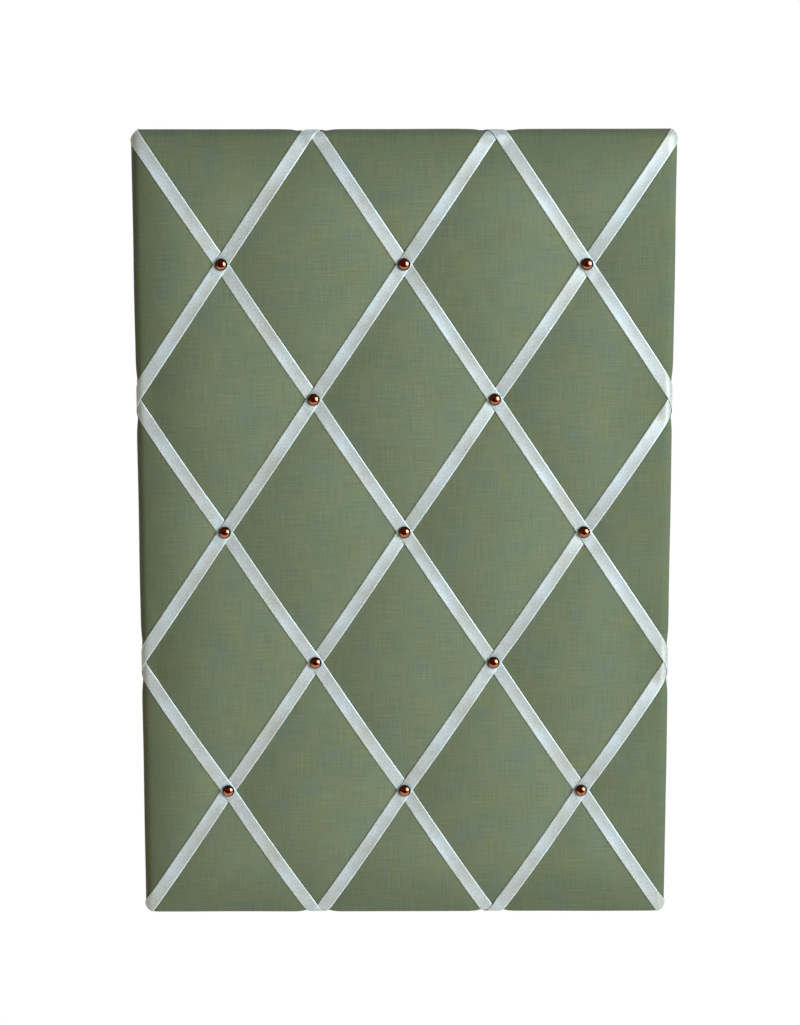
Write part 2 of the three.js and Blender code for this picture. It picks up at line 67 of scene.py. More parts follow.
# Slack when lengths are compared, and the least length that is divided by
NEAR = 1e-6
TINY = 1e-9
SIDES = ("left", "right")
log = logging.getLogger("memo_board")


def to_world(points: np.ndarray) -> np.ndarray:
    """Turns panel coordinates into the frame's, with z along -Y and y along Z."""
    return np.stack([points[..., 0], -points[..., 2], points[..., 1]], axis=-1)


def smoothstep(value: np.ndarray) -> np.ndarray:
    """Eases a value from 0 to 1, clamped outside that range."""
    share = np.clip(value, 0.0, 1.0)
    return share * share * (3.0 - 2.0 * share)


class Unevenness(Enum):
    """What hand work leaves uneven, each with its own layer of the noise."""

    LUMPS = 0.0
    WAVER = 3.7
    RIPPLE = 9.1

    def over(self, x: np.ndarray, y: np.ndarray, length: float) -> np.ndarray:
        """Gives smooth unevenness over the board, the same in every run.

        Args:
            x: Places across the board.
            y: Places up the board.
            length: How long the swells are.

        Returns:
            Values from -1 to 1.
        """
        flat = zip((x / length).ravel(), (y / length).ravel())
        values = [noise.noise(Vector((a, b, self.value))) for a, b in flat]
        return np.array(values).reshape(x.shape)


def new_object(name: str, shape: Shape) -> Piece:
    """Makes a smooth object of a finished bmesh and frees the bmesh.

    Args:
        name: The piece's name.
        shape: The bmesh, in the frame's coordinates.

    Returns:
        The object, linked to the scene.
    """
    mesh = bpy.data.meshes.new(name)
    shape.to_mesh(mesh)
    shape.free()
    mesh.polygons.foreach_set("use_smooth", [True] * len(mesh.polygons))
    piece = bpy.data.objects.new(name, mesh)
    bpy.context.scene.collection.objects.link(piece)
    return piece


def lay_grid(shape: Shape, points: np.ndarray) -> list[bmesh.types.BMVert]:
    """Adds a grid and moves its corners to worked-out places.

    Args:
        shape: The bmesh that takes it.
        points: Panel coordinates, one for each corner, in rows and columns.

    Returns:
        The corners, row by row.
    """
    rows, columns = points.shape[:2]
    made = bmesh.ops.create_grid(shape, x_segments=columns - 1, y_segments=rows - 1, size=1.0)
    for vert, place in zip(made["verts"], to_world(points).reshape(-1, 3)):
        vert.co = place
    return made["verts"]


def grid_sheet(name: str, points: np.ndarray, uvs: np.ndarray, uv_name: str) -> Piece:
    """Makes a sheet that keeps its places on the flat cloth.

    Args:
        name: The piece's name.
        points: Panel coordinates, one for each corner, in rows and columns.
        uvs: Places on the flat cloth in metres, in the same rows and columns.
        uv_name: The name of the UV map that keeps them.

    Returns:
        The sheet, its face towards +z of the panel where it lies flat.
    """
    shape = bmesh.new()
    layer = shape.loops.layers.uv.new(uv_name)
    flat = dict(zip(lay_grid(shape, points), uvs.reshape(-1, 2)))
    for face in shape.faces:
        for loop in face.loops:
            loop[layer].uv = flat[loop.vert]
    return new_object(name, shape)


def tidy_sheet(piece: Piece, distance: float, outward: bool = False) -> None:
    """Merges the corners that a fold has brought together.

    Args:
        piece: The sheet.
        distance: How close corners have to be.
        outward: Whether the merged sheet is closed, and its faces turn outward.
    """
    shape = bmesh.new()
    shape.from_mesh(piece.data)
    bmesh.ops.remove_doubles(shape, verts=shape.verts, dist=distance)
    bmesh.ops.dissolve_degenerate(shape, edges=shape.edges, dist=distance)
    if outward:
        bmesh.ops.recalc_face_normals(shape, faces=shape.faces)
    shape.to_mesh(piece.data)
    shape.free()


def thicken(piece: Piece, thickness: float, offset: float) -> None:
    """Gives a sheet its thickness.

    Args:
        piece: The sheet.
        thickness: How thick it gets.
        offset: 1 where it grows to its face side, -1 to the other side, 0 to both.
    """
    solidify = piece.modifiers.new("thickness", "SOLIDIFY")
    solidify.thickness = thickness
    solidify.offset = offset


def dome(radius: float, base: float, top: float, steps: int) -> list[tuple[float, float]]:
    """Gives radius and level of a dome's points, from the first step over its base to its top."""
    angles = [i / steps * math.pi / 2 for i in range(1, steps + 1)]
    return [(radius * math.cos(a), base + (top - base) * math.sin(a)) for a in angles]


def turn_profile(shape: Shape, profile: Sequence[tuple[float, float]], sides: int) -> None:
    """Turns a profile round the upright axis into a closed form.

    Args:
        shape: The bmesh that takes it.
        profile: Radius and level of each point, from one end of the axis to the other.
        sides: How many steps the turn has.
    """
    verts = [shape.verts.new((radius, 0.0, level)) for radius, level in profile]
    edges = [shape.edges.new(pair) for pair in zip(verts, verts[1:])]
    bmesh.ops.spin(
        shape, geom=verts + edges, cent=(0.0, 0.0, 0.0), axis=(0.0, 0.0, 1.0),
        angle=2 * math.pi, steps=sides, use_merge=True,
    )
    bmesh.ops.remove_doubles(shape, verts=shape.verts, dist=POLE_MERGE)
    bmesh.ops.recalc_face_normals(shape, faces=shape.faces)


def place_piece(piece: Piece, finish: "Finish", slot: str, body: str, *nodes: str) -> None:
    """Dresses a piece and ties it to the frame.

    Args:
        piece: The piece, in its place.
        finish: Its finish.
        slot: The name of a material slot; not used.
        body: The body that it rides on.
        nodes: The solids that it stands for.
    """
    piece.data.materials.clear()
    piece.data.materials.append(finish.material())
    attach(piece, body)
    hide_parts(*nodes)
    log.info("%s: %d faces", piece.name, len(piece.data.polygons))


# The lattice of ribbons


class Lean(Enum):
    """Which way a ribbon runs, seen from the front."""

    RISE = 1
    FALL = -1


@dataclass(frozen=True)
class Sizes:
    """The board's levels and sizes."""

    half_width: float
    half_height: float
    crown: float
    floor: float
    hem: float
    pitch_x: float
    pitch_y: float
    nail_rim: float
    rim: float = 7.0 * MM
    corner_ease: float = 0.6 * MM
    back_turn: float = 1.6 * MM
    hem_width: float = 24.0 * MM
    ribbon_width: float = 10.0 * MM
    ribbon_thickness: float = 0.4 * MM
    ribbon_gap: float = 0.3 * MM

    @classmethod
    def from_frame(cls) -> "Sizes":
        """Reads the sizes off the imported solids.

        Returns:
            The sizes.
        """
        low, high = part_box("cover_linen")
        nail_low, nail_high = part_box("nail_3")
        top_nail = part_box("nail_2")
        first_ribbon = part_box("ribbon_rise_3")[0]
        lying = cls.ribbon_thickness + cls.ribbon_gap
        return cls(
            half_width=high.x,
            half_height=high.z,
            crown=-low.y,
            floor=-first_ribbon.y - lying,
            hem=-high.y,
            pitch_x=(nail_low.x + nail_high.x) / 2,
            pitch_y=(top_nail[0].z + top_nail[1].z) / 2,
            nail_rim=-nail_low.y - Nails.rise,
        )

    @property
    def flat(self) -> np.ndarray:
        """Half the flat front inside the rolled rim."""
        return np.array([self.half_width - self.rim, self.half_height - self.rim])


@dataclass(frozen=True)
class RibbonLine:
    """One ribbon's straight line on the unfolded cover."""

    # The number of a set's middle ribbon, which runs to two corners
    middle = 3

    lean: Lean
    step: int
    sizes: Sizes

    @property
    def name(self) -> str:
        """The ribbon's name, counted from the upper corner of its set."""
        return f"{self.lean.name.lower()}_{self.middle - self.lean.value * self.step}"

    @property
    def direction(self) -> np.ndarray:
        """The way it runs to the right."""
        way = np.array([self.sizes.pitch_x, self.lean.value * self.sizes.pitch_y])
        return way / np.linalg.norm(way)

    @property
    def across(self) -> np.ndarray:
        """The way square to it, to its left."""
        return np.array([-self.direction[1], self.direction[0]])

    @property
    def centre(self) -> np.ndarray:
        """Where it crosses the board's upright middle line."""
        return np.array([0.0, self.step * self.sizes.pitch_y])

    def measure(self, x: np.ndarray, y: np.ndarray) -> tuple[np.ndarray, np.ndarray]:
        """Measures points against the line.

        Args:
            x: Places across the board.
            y: Places up the board.

        Returns:
            How far along the line and how far aside of it each point lies.
        """
        dx, dy = x - self.centre[0], y - self.centre[1]
        along = dx * self.direction[0] + dy * self.direction[1]
        return along, dx * self.across[0] + dy * self.across[1]

    def plan(self, along: np.ndarray, aside: np.ndarray) -> np.ndarray:
        """Gives the x and y of places measured along the line and aside of it."""
        return self.centre + along[..., None] * self.direction + aside[..., None] * self.across


@dataclass(frozen=True)
class Crossing:
    """Where one ribbon meets another."""

    along: float
    other: RibbonLine
    over: bool
    inside: bool


@dataclass
class Lattice:
    """All the ribbons, in the order that they were laid."""

    sizes: Sizes
    cells: int = 3
    nail_rest: float = 4.0 * MM
    bow_spread: float = 26.0 * MM
    bow_half: float = 60.0 * MM
    laying: tuple[tuple[Lean, int], ...] = (
        (Lean.RISE, 0), (Lean.FALL, 0), (Lean.FALL, -1), (Lean.RISE, -2), (Lean.RISE, -1),
        (Lean.FALL, 1), (Lean.FALL, -2), (Lean.RISE, 1), (Lean.RISE, 2), (Lean.FALL, 2),
    )
    lines: list[RibbonLine] = field(init=False)

    def __post_init__(self) -> None:
        """Lays the lines out."""
        self.lines = [RibbonLine(lean, step, self.sizes) for lean, step in self.laying]

    def crossings(self, line: RibbonLine) -> list[Crossing]:
        """Finds where a ribbon crosses the others, at the nails and at the edges.

        Args:
            line: The ribbon.

        Returns:
            The crossings, from left to right.
        """
        found = []
        pitch = np.array([self.sizes.pitch_x, self.sizes.pitch_y])
        for other in self.lines:
            if other.lean is line.lean:
                continue
            rise, fall = (line, other) if line.lean is Lean.RISE else (other, line)
            steps = np.array([fall.step - rise.step, fall.step + rise.step]) / 2
            reach = np.abs(steps).max()
            if reach > self.cells / 2:
                continue
            along, _ = line.measure(*(steps * pitch))
            over = self.lines.index(other) < self.lines.index(line)
            found.append(Crossing(float(along), other, over, reach < self.cells / 2))
        return sorted(found, key=lambda crossing: crossing.along)

    def reach(self, line: RibbonLine, aside: np.ndarray, side: int) -> np.ndarray:
        """Finds where strips of a ribbon start over the rim, or reach the outline of a corner.

        Args:
            line: The ribbon.
            aside: How far each strip lies aside of the line.
            side: 1 for the right end, -1 for the left one.

        Returns:
            How far along the line each strip does so.
        """
        outward = line.direction * side
        if line.step == 0:
            return side * self._corner_reach(line, aside, side)
        axis = self.leaves_by(line, side)
        start = line.centre[axis] + aside * line.across[axis]
        way = math.copysign(self.sizes.flat[axis], outward[axis]) - start
        return side * way / outward[axis]

    def leaves_by(self, line: RibbonLine, side: int) -> int:
        """Gives 0 for a ribbon end that leaves by a left or right edge, 1 for top or bottom."""
        return 0 if -side * line.lean.value * line.step > 0 else 1

    def _corner_reach(self, line: RibbonLine, aside: np.ndarray, side: int) -> np.ndarray:
        """Finds how far along its line each strip of a corner ribbon reaches the outline.

        Args:
            line: The ribbon.
            aside: How far each strip lies aside of the line.
            side: 1 for the right end, -1 for the left one.

        Returns:
            The distances out from the middle of the board.
        """
        centre, radius = self.corner(line, side)
        outward = line.direction * side
        offset = aside - centre @ line.across
        return centre @ outward + np.sqrt(np.maximum(radius**2 - offset**2, 0.0))

    def corner(self, line: RibbonLine, side: int) -> tuple[np.ndarray, float]:
        """Gives the round of the corner that a ribbon runs to.

        Args:
            line: The ribbon.
            side: 1 for the right end, -1 for the left one.

        Returns:
            The centre of the round and the radius of its outline.
        """
        ease = self.sizes.corner_ease
        signs = np.array([side, side * line.lean.value])
        return (self.sizes.flat - ease) * signs, self.sizes.rim + ease

    def bow(self, line: RibbonLine, along: np.ndarray) -> np.ndarray:
        """Gives how a ribbon swells where nothing holds it, as a tight strip on a springy bed.

        Args:
            line: The ribbon.
            along: Places along it.

        Returns:
            0 at a nail or at the rim, and about 1 halfway between two nails.
        """
        middle = np.zeros(1)
        ends = [float(self.reach(line, middle, side)[0]) for side in (-1, 1)]
        held = [crossing.along for crossing in self.crossings(line) if crossing.inside]
        stations = np.array([ends[0], *held, ends[1]])
        span = np.clip(np.searchsorted(stations, along) - 1, 0, len(stations) - 2)
        start, stop = stations[span], stations[span + 1]
        free = np.maximum(np.minimum(along - start, stop - along) - self.nail_rest, 0.0)
        half = (stop - start) / 2 - self.nail_rest
        spread = self.bow_spread
        swell = 1 - np.cosh((half - free) / spread) / np.cosh(half / spread)
        return swell / (1 - 1 / np.cosh(self.bow_half / spread))


# The padded front


@dataclass
class PaddedFront:
    """The level of the cover's front: cloth over a springy bed, held down under the ribbons.

    The level is relaxed on a fine grid. The bed pushes every point up, the cloth's pull evens its
    neighbours out, the ribbons hold it where they lie, and it is drawn down over the edges, by
    hand and so not evenly.
    """

    sizes: Sizes
    lattice: Lattice
    spacing: float = 2.0 * MM
    spread: float = 36.0 * MM
    trial_fill: float = 10.0 * MM
    hold_margin: float = 0.7 * MM
    ribbon_bow: float = 4.2 * MM
    ribbon_cup: float = 0.45 * MM
    crown_rise: float = 3.2 * MM
    edge_left: float = -1.2 * MM
    edge_right: float = 0.6 * MM
    edge_top: float = -0.8 * MM
    edge_bottom: float = 1.0 * MM
    edge_band: float = 2.0 * MM
    edge_grip: float = 3.0
    hold: float = 40.0
    rounds: int = 1500
    # Keeps a place on the far edge within the last cell of the grid
    last_cell: float = 1.001
    levels: np.ndarray = field(init=False)

    def __post_init__(self) -> None:
        """Relaxes the front once, and fills it until the cells reach the crown."""
        self.levels = self._relax(0.0)
        middle = np.array([self.sizes.pitch_x / 2]), np.zeros(1)
        empty = float(self.level(*middle)[0])
        self.levels = self._relax(self.trial_fill)
        filled = float(self.level(*middle)[0])
        wanted = self.sizes.crown + self.crown_rise
        self.levels = self._relax(self.trial_fill * (wanted - empty) / (filled - empty))

    @property
    def half(self) -> np.ndarray:
        """Half the grid, which reaches a little past the outline."""
        return np.array([self.sizes.half_width, self.sizes.half_height]) + 2 * self.spacing

    def under_ribbon(self, line: RibbonLine, along: np.ndarray, aside: np.ndarray) -> np.ndarray:
        """Gives the cover's level under a ribbon, which the padding cups between the nails.

        Args:
            line: The ribbon.
            along: Places along it.
            aside: Places aside of its middle.

        Returns:
            The levels.
        """
        cupped = np.minimum(2 * aside / self.sizes.ribbon_width, 1.0) ** 2
        rise = self.ribbon_bow + self.ribbon_cup * cupped
        return self.sizes.floor + rise * self.lattice.bow(line, along)

    def _relax(self, fill: float) -> np.ndarray:
        """Lets the cloth settle.

        Args:
            fill: How far over the nails' level the free bed would stand.

        Returns:
            The levels, in rows from the bottom up.
        """
        counts = np.ceil(2 * self.half / self.spacing).astype(int) + 1
        lines = (np.linspace(-half, half, count) for half, count in zip(self.half, counts))
        x, y = np.meshgrid(*lines)
        bed = (self.spacing / self.spread) ** 2
        neighbours = 4.0
        weight = np.full(x.shape, neighbours + bed)
        target = np.full(x.shape, bed * (self.sizes.floor + fill))
        free = np.ones(x.shape)
        for line in self.lattice.lines:
            along, aside = line.measure(x, y)
            within = self.sizes.ribbon_width / 2 + self.hold_margin - np.abs(aside)
            held = np.clip(within / self.spacing + 0.5, 0.0, 1.0)
            weight += self.hold * held
            target += self.hold * held * self.under_ribbon(line, along, np.abs(aside))
            free = np.minimum(free, 1 - held)
        width, height = self.sizes.half_width, self.sizes.half_height
        edges = (
            (width + x, self.edge_left), (width - x, self.edge_right),
            (height - y, self.edge_top), (height + y, self.edge_bottom),
        )
        for inside, lift in edges:
            held = free * np.clip((self.edge_band - inside) / self.spacing + 0.5, 0.0, 1.0)
            weight += self.edge_grip * held
            target += self.edge_grip * held * (self.sizes.floor + lift)
        levels = np.full(x.shape, self.sizes.floor)
        for _ in range(self.rounds):
            wide = np.pad(levels, 1, mode="edge")
            around = wide[:-2, 1:-1] + wide[2:, 1:-1] + wide[1:-1, :-2] + wide[1:-1, 2:]
            levels = (around + target) / weight
        return levels

    def level(self, x: np.ndarray, y: np.ndarray) -> np.ndarray:
        """Reads the front's level between the points of the grid.

        Args:
            x: Places across the board.
            y: Places up the board.

        Returns:
            The levels there.
        """
        rows, columns = self.levels.shape
        half = self.half
        across = (x + half[0]) / (2 * half[0]) * (columns - 1)
        across = np.clip(across, 0, columns - self.last_cell)
        up = (y + half[1]) / (2 * half[1]) * (rows - 1)
        up = np.clip(up, 0, rows - self.last_cell)
        i, j = up.astype(int), across.astype(int)
        s, t = up - i, across - j
        low = self.levels[i, j] * (1 - t) + self.levels[i, j + 1] * t
        high = self.levels[i + 1, j] * (1 - t) + self.levels[i + 1, j + 1] * t
        return low * (1 - s) + high * s


@dataclass
class Cover:
    """The linen: over the padded front, round the rim, down the sides and in behind as a hem."""

    sizes: Sizes
    lattice: Lattice
    front: PaddedFront
    cell: float = 2.6 * MM
    roll_steps: int = 9
    side_steps: int = 4
    turn_steps: int = 3
    hem_steps: int = 5
    pull_in: float = 1.5 * MM
    pull_width: float = 5.0 * MM
    waver: float = 0.35 * MM
    waver_length: float = 70.0 * MM
    lump: float = 0.22 * MM
    lump_length: float = 45.0 * MM
    # How far in from the outline the painted edge shade reaches
    edge_shade_width: float = 62.0 * MM
    drop: float = 0.0

    @property
    def roll_length(self) -> float:
        """The way round the rolled rim."""
        return self.sizes.rim * math.pi / 2

    @property
    def side_length(self) -> float:
        """The way down the side."""
        return self.sizes.floor - self.sizes.rim - self.sizes.hem - self.sizes.back_turn

    @property
    def turn_length(self) -> float:
        """The way round the back corner."""
        return self.sizes.back_turn * math.pi / 2

    @property
    def wrap_length(self) -> float:
        """The way from the flat front to the back."""
        return self.roll_length + self.side_length + self.turn_length

    @property
    def flat_size(self) -> tuple[float, float]:
        """The size that the cloth is cut to."""
        size = 2 * (self.sizes.flat + self.wrap_length + self.sizes.hem_width)
        return float(size[0]), float(size[1])

    def stations(self, flat: float) -> np.ndarray:
        """Gives the places of the grid's lines on the unfolded cloth.

        Args:
            flat: Half the flat front that way.

        Returns:
            The places, from one hem edge to the other.
        """
        front = np.linspace(-flat, flat, 2 * round(flat / self.cell) + 1)
        parts = (
            (self.roll_length, self.roll_steps),
            (self.side_length, self.side_steps),
            (self.turn_length, self.turn_steps),
            (self.sizes.hem_width, self.hem_steps),
        )
        past = [0.0]
        for length, steps in parts:
            start = past[-1]
            past.extend(start + length * (i + 1) / steps for i in range(steps))
        outer = flat + np.array(past[1:])
        return np.concatenate([-outer[::-1], front, outer])

    def section(self, past: np.ndarray) -> tuple[np.ndarray, np.ndarray, np.ndarray]:
        """Follows the cloth round the rim.

        Args:
            past: How far past the flat front, along the cloth.

        Returns:
            The angle round the rim, the share of the side that lies behind, and the angle round
            the back corner.
        """
        after_roll = past - self.roll_length
        angle = np.clip(past / self.sizes.rim, 0.0, math.pi / 2)
        down = np.clip(after_roll / self.side_length, 0.0, 1.0)
        turn = np.clip((after_roll - self.side_length) / self.sizes.back_turn, 0.0, math.pi / 2)
        return angle, down, turn

    def outward(self, past: np.ndarray, lift: np.ndarray | float = 0.0) -> np.ndarray:
        """Gives how far out from the flat front the cloth, or what lies on it, reaches.

        Args:
            past: How far past the flat front, along the cloth.
            lift: The height over the cloth.

        Returns:
            The distances.
        """
        angle, _, turn = self.section(past)
        inward = np.maximum(past - self.wrap_length, 0.0)
        turned = (self.sizes.back_turn + lift) * (1 - np.cos(turn))
        return (self.sizes.rim + lift) * np.sin(angle) - turned - inward

    def height(
        self, past: np.ndarray, top: np.ndarray | float, lift: np.ndarray | float = 0.0
    ) -> np.ndarray:
        """Gives the level of the cloth, or of what lies on it, on the way round the rim.

        Args:
            past: How far past the flat front, along the cloth.
            top: The front's level there.
            lift: The height over the cloth.

        Returns:
            The levels.
        """
        angle, down, turn = self.section(past)
        sizes = self.sizes
        rolled = top - sizes.rim + (sizes.rim + lift) * np.cos(angle)
        side = top - sizes.rim - sizes.hem - sizes.back_turn
        return rolled - down * side - (sizes.back_turn + lift) * np.sin(turn)

    def fold(self, u: np.ndarray, v: np.ndarray) -> np.ndarray:
        """Folds the flat cloth over the board.

        Args:
            u: Places across the flat cloth.
            v: Places up the flat cloth.

        Returns:
            Panel coordinates.
        """
        flat, ease = self.sizes.flat, self.sizes.corner_ease
        wide, tall = np.abs(u), np.abs(v)
        past_u, past_v = np.maximum(wide - flat[0], 0.0), np.maximum(tall - flat[1], 0.0)
        past = np.maximum(past_u, past_v)
        out = self.outward(past)
        limit = np.where(past > 0, np.minimum(out, -ease), 0.0)
        x = np.where(past_u > 0, flat[0] + out, np.minimum(wide, flat[0] + limit))
        y = np.where(past_v > 0, flat[1] + out, np.minimum(tall, flat[1] + limit))
        corner = (past_u > 0) & (past_v > 0)
        share = np.minimum(past_u, past_v) / np.maximum(past, TINY) * (math.pi / 4)
        angle = np.where(past_u >= past_v, share, math.pi / 2 - share)
        radius = np.maximum(ease + out, 0.0)
        mitre = np.minimum(out, -ease)
        x = np.where(corner, flat[0] + mitre + radius * np.cos(angle), x)
        y = np.where(corner, flat[1] + mitre + radius * np.sin(angle), y)
        x, y = np.copysign(x, u), np.copysign(y, v)
        unfolded_x = np.where((past_u > 0) & ~corner, u, x)
        unfolded_y = np.where((past_v > 0) & ~corner, v, y)
        level = self.height(past, self.top(x, y))
        x, y = self._draw_in(x, y, past, self._beside_ribbons(unfolded_x, unfolded_y))
        return np.stack([x, y, level], axis=-1)

    def top(self, x: np.ndarray, y: np.ndarray) -> np.ndarray:
        """Gives the front's level, with the wadding's small lumps between the ribbons.

        Args:
            x: Places across the board.
            y: Places up the board.

        Returns:
            The levels.
        """
        sizes = self.sizes
        padded = self.front.level(x, y) - self.drop
        swell = np.clip((padded - sizes.floor) / (sizes.crown - sizes.floor), 0.0, 1.0)
        lumps = Unevenness.LUMPS.over(x, y, self.lump_length)
        return padded + self.lump * swell * (lumps - 1.0)

    def _beside_ribbons(self, x: np.ndarray, y: np.ndarray) -> np.ndarray:
        """Gives how far places on the unfolded cloth lie from a ribbon that draws the edge in.

        Args:
            x: Places across the unfolded cloth.
            y: Places up it.

        Returns:
            The distances from the nearest selvedge. Ribbons that run to a corner are left out.
        """
        nearest = np.full(x.shape, np.inf)
        for line in self.lattice.lines:
            if line.step:
                nearest = np.minimum(nearest, np.abs(line.measure(x, y)[1]))
        return np.maximum(nearest - self.sizes.ribbon_width / 2, 0.0)

    def _draw_in(
        self, x: np.ndarray, y: np.ndarray, past: np.ndarray, beside: np.ndarray
    ) -> tuple[np.ndarray, np.ndarray]:
        """Draws the edge in under the ribbons and lets it waver between them.

        Args:
            x: Places across the board.
            y: Places up the board.
            past: How far past the flat front each lies along the cloth.
            beside: How far each lies from the nearest ribbon's edge.

        Returns:
            The new places.
        """
        squeeze = self.pull_in * np.exp(-((beside / self.pull_width) ** 2))
        uneven = self.waver * (1.0 - Unevenness.WAVER.over(x, y, self.waver_length))
        inset = (squeeze + uneven) * smoothstep(past / self.roll_length)
        inset = inset * (past <= self.wrap_length)
        flat, ease = self.sizes.flat, self.sizes.corner_ease
        way_x = np.maximum(np.abs(x) - flat[0] + ease, 0.0)
        way_y = np.maximum(np.abs(y) - flat[1] + ease, 0.0)
        length = np.maximum(np.hypot(way_x, way_y), TINY)
        inner_x = np.abs(x) - inset * way_x / length
        inner_y = np.abs(y) - inset * way_y / length
        return np.copysign(inner_x, x), np.copysign(inner_y, y)

    def build(self, finish: "Finish") -> None:
        """Makes the cover.

        Args:
            finish: The linen.
        """
        u, v = np.meshgrid(*(self.stations(flat) for flat in self.sizes.flat))
        piece = grid_sheet("linen_cover", self.fold(u, v), np.stack([u, v], axis=-1), "cloth")
        tidy_sheet(piece, FOLD_MERGE)
        self._mark_edge_shade(piece)
        place_piece(piece, finish, "linen", "board", "cover_linen")
        self.flat_size

    def _mark_edge_shade(self, piece: Piece) -> None:
        """Marks how near the outline each point lies, for the painted shade that darkens the linen
        towards its edges.

        Args:
            piece: The cover.
        """
        corners = np.empty(3 * len(piece.data.vertices))
        piece.data.vertices.foreach_get("co", corners)
        x, _, z = np.abs(corners.reshape(-1, 3)).T
        inside = np.minimum(self.sizes.half_width - x, self.sizes.half_height - z)
        mark = piece.data.attributes.new("edge", "FLOAT", "POINT")
        mark.data.foreach_set("value", 1.0 - smoothstep(inside / self.edge_shade_width))


@dataclass
class Wadding:
    """The wadding under the linen, with the same swells and channels."""

    cover: Cover
    cell: float = 4.4 * MM
    under_cover: float = 0.5 * MM
    thickness: float = 1.3 * MM
    rest: float = 1.5 * MM
    clear: float = 0.05 * MM

    def build(self, finish: "Finish") -> None:
        """Makes the wadding as a closed shell round the front and the sides of the board.

        Args:
            finish: The wadding's fibre.
        """
        shape = bmesh.new()
        lay_grid(shape, self._layer(self.under_cover))
        inner = lay_grid(shape, self._layer(self.under_cover + self.thickness))
        faces = list({face for vert in inner for face in vert.link_faces})
        bmesh.ops.reverse_faces(shape, faces=faces)
        open_edges = [edge for edge in shape.edges if edge.is_boundary]
        bmesh.ops.bridge_loops(shape, edges=open_edges)
        bmesh.ops.remove_doubles(shape, verts=shape.verts, dist=FOLD_MERGE)
        bmesh.ops.recalc_face_normals(shape, faces=shape.faces)
        piece = new_object("wadding_pad", shape)
        place_piece(piece, finish, "wadding", "board", "wadding")

    def _layer(self, drop: float) -> np.ndarray:
        """Gives one face of the wadding.

        Args:
            drop: How far under the cover's face it lies.

        Returns:
            Panel coordinates in rows and columns, over the front, the rim and the side.
        """
        whole = self.cover.sizes
        sizes = replace(
            whole, half_width=whole.half_width - drop, half_height=whole.half_height - drop,
            crown=whole.crown - drop, floor=whole.floor - drop, rim=whole.rim - drop,
        )
        layer = Cover(sizes, self.cover.lattice, self.cover.front, cell=self.cell, drop=drop)
        kept = []
        for flat in sizes.flat:
            stations = layer.stations(flat)
            end = flat + layer.roll_length + layer.side_length + NEAR
            kept.append(stations[np.abs(stations) <= end])
        points = layer.fold(*np.meshgrid(*kept))
        low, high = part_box("backboard")
        beside = points[..., 2] < -low.y
        for axis, side in ((0, high.x), (1, high.z)):
            across = points[..., axis]
            on_side = beside & (np.abs(across) > side - self.rest)
            pushed = np.copysign(np.maximum(np.abs(across), side + self.clear), across)
            points[..., axis] = np.where(on_side, pushed, across)
        return points


# Ribbons and nails


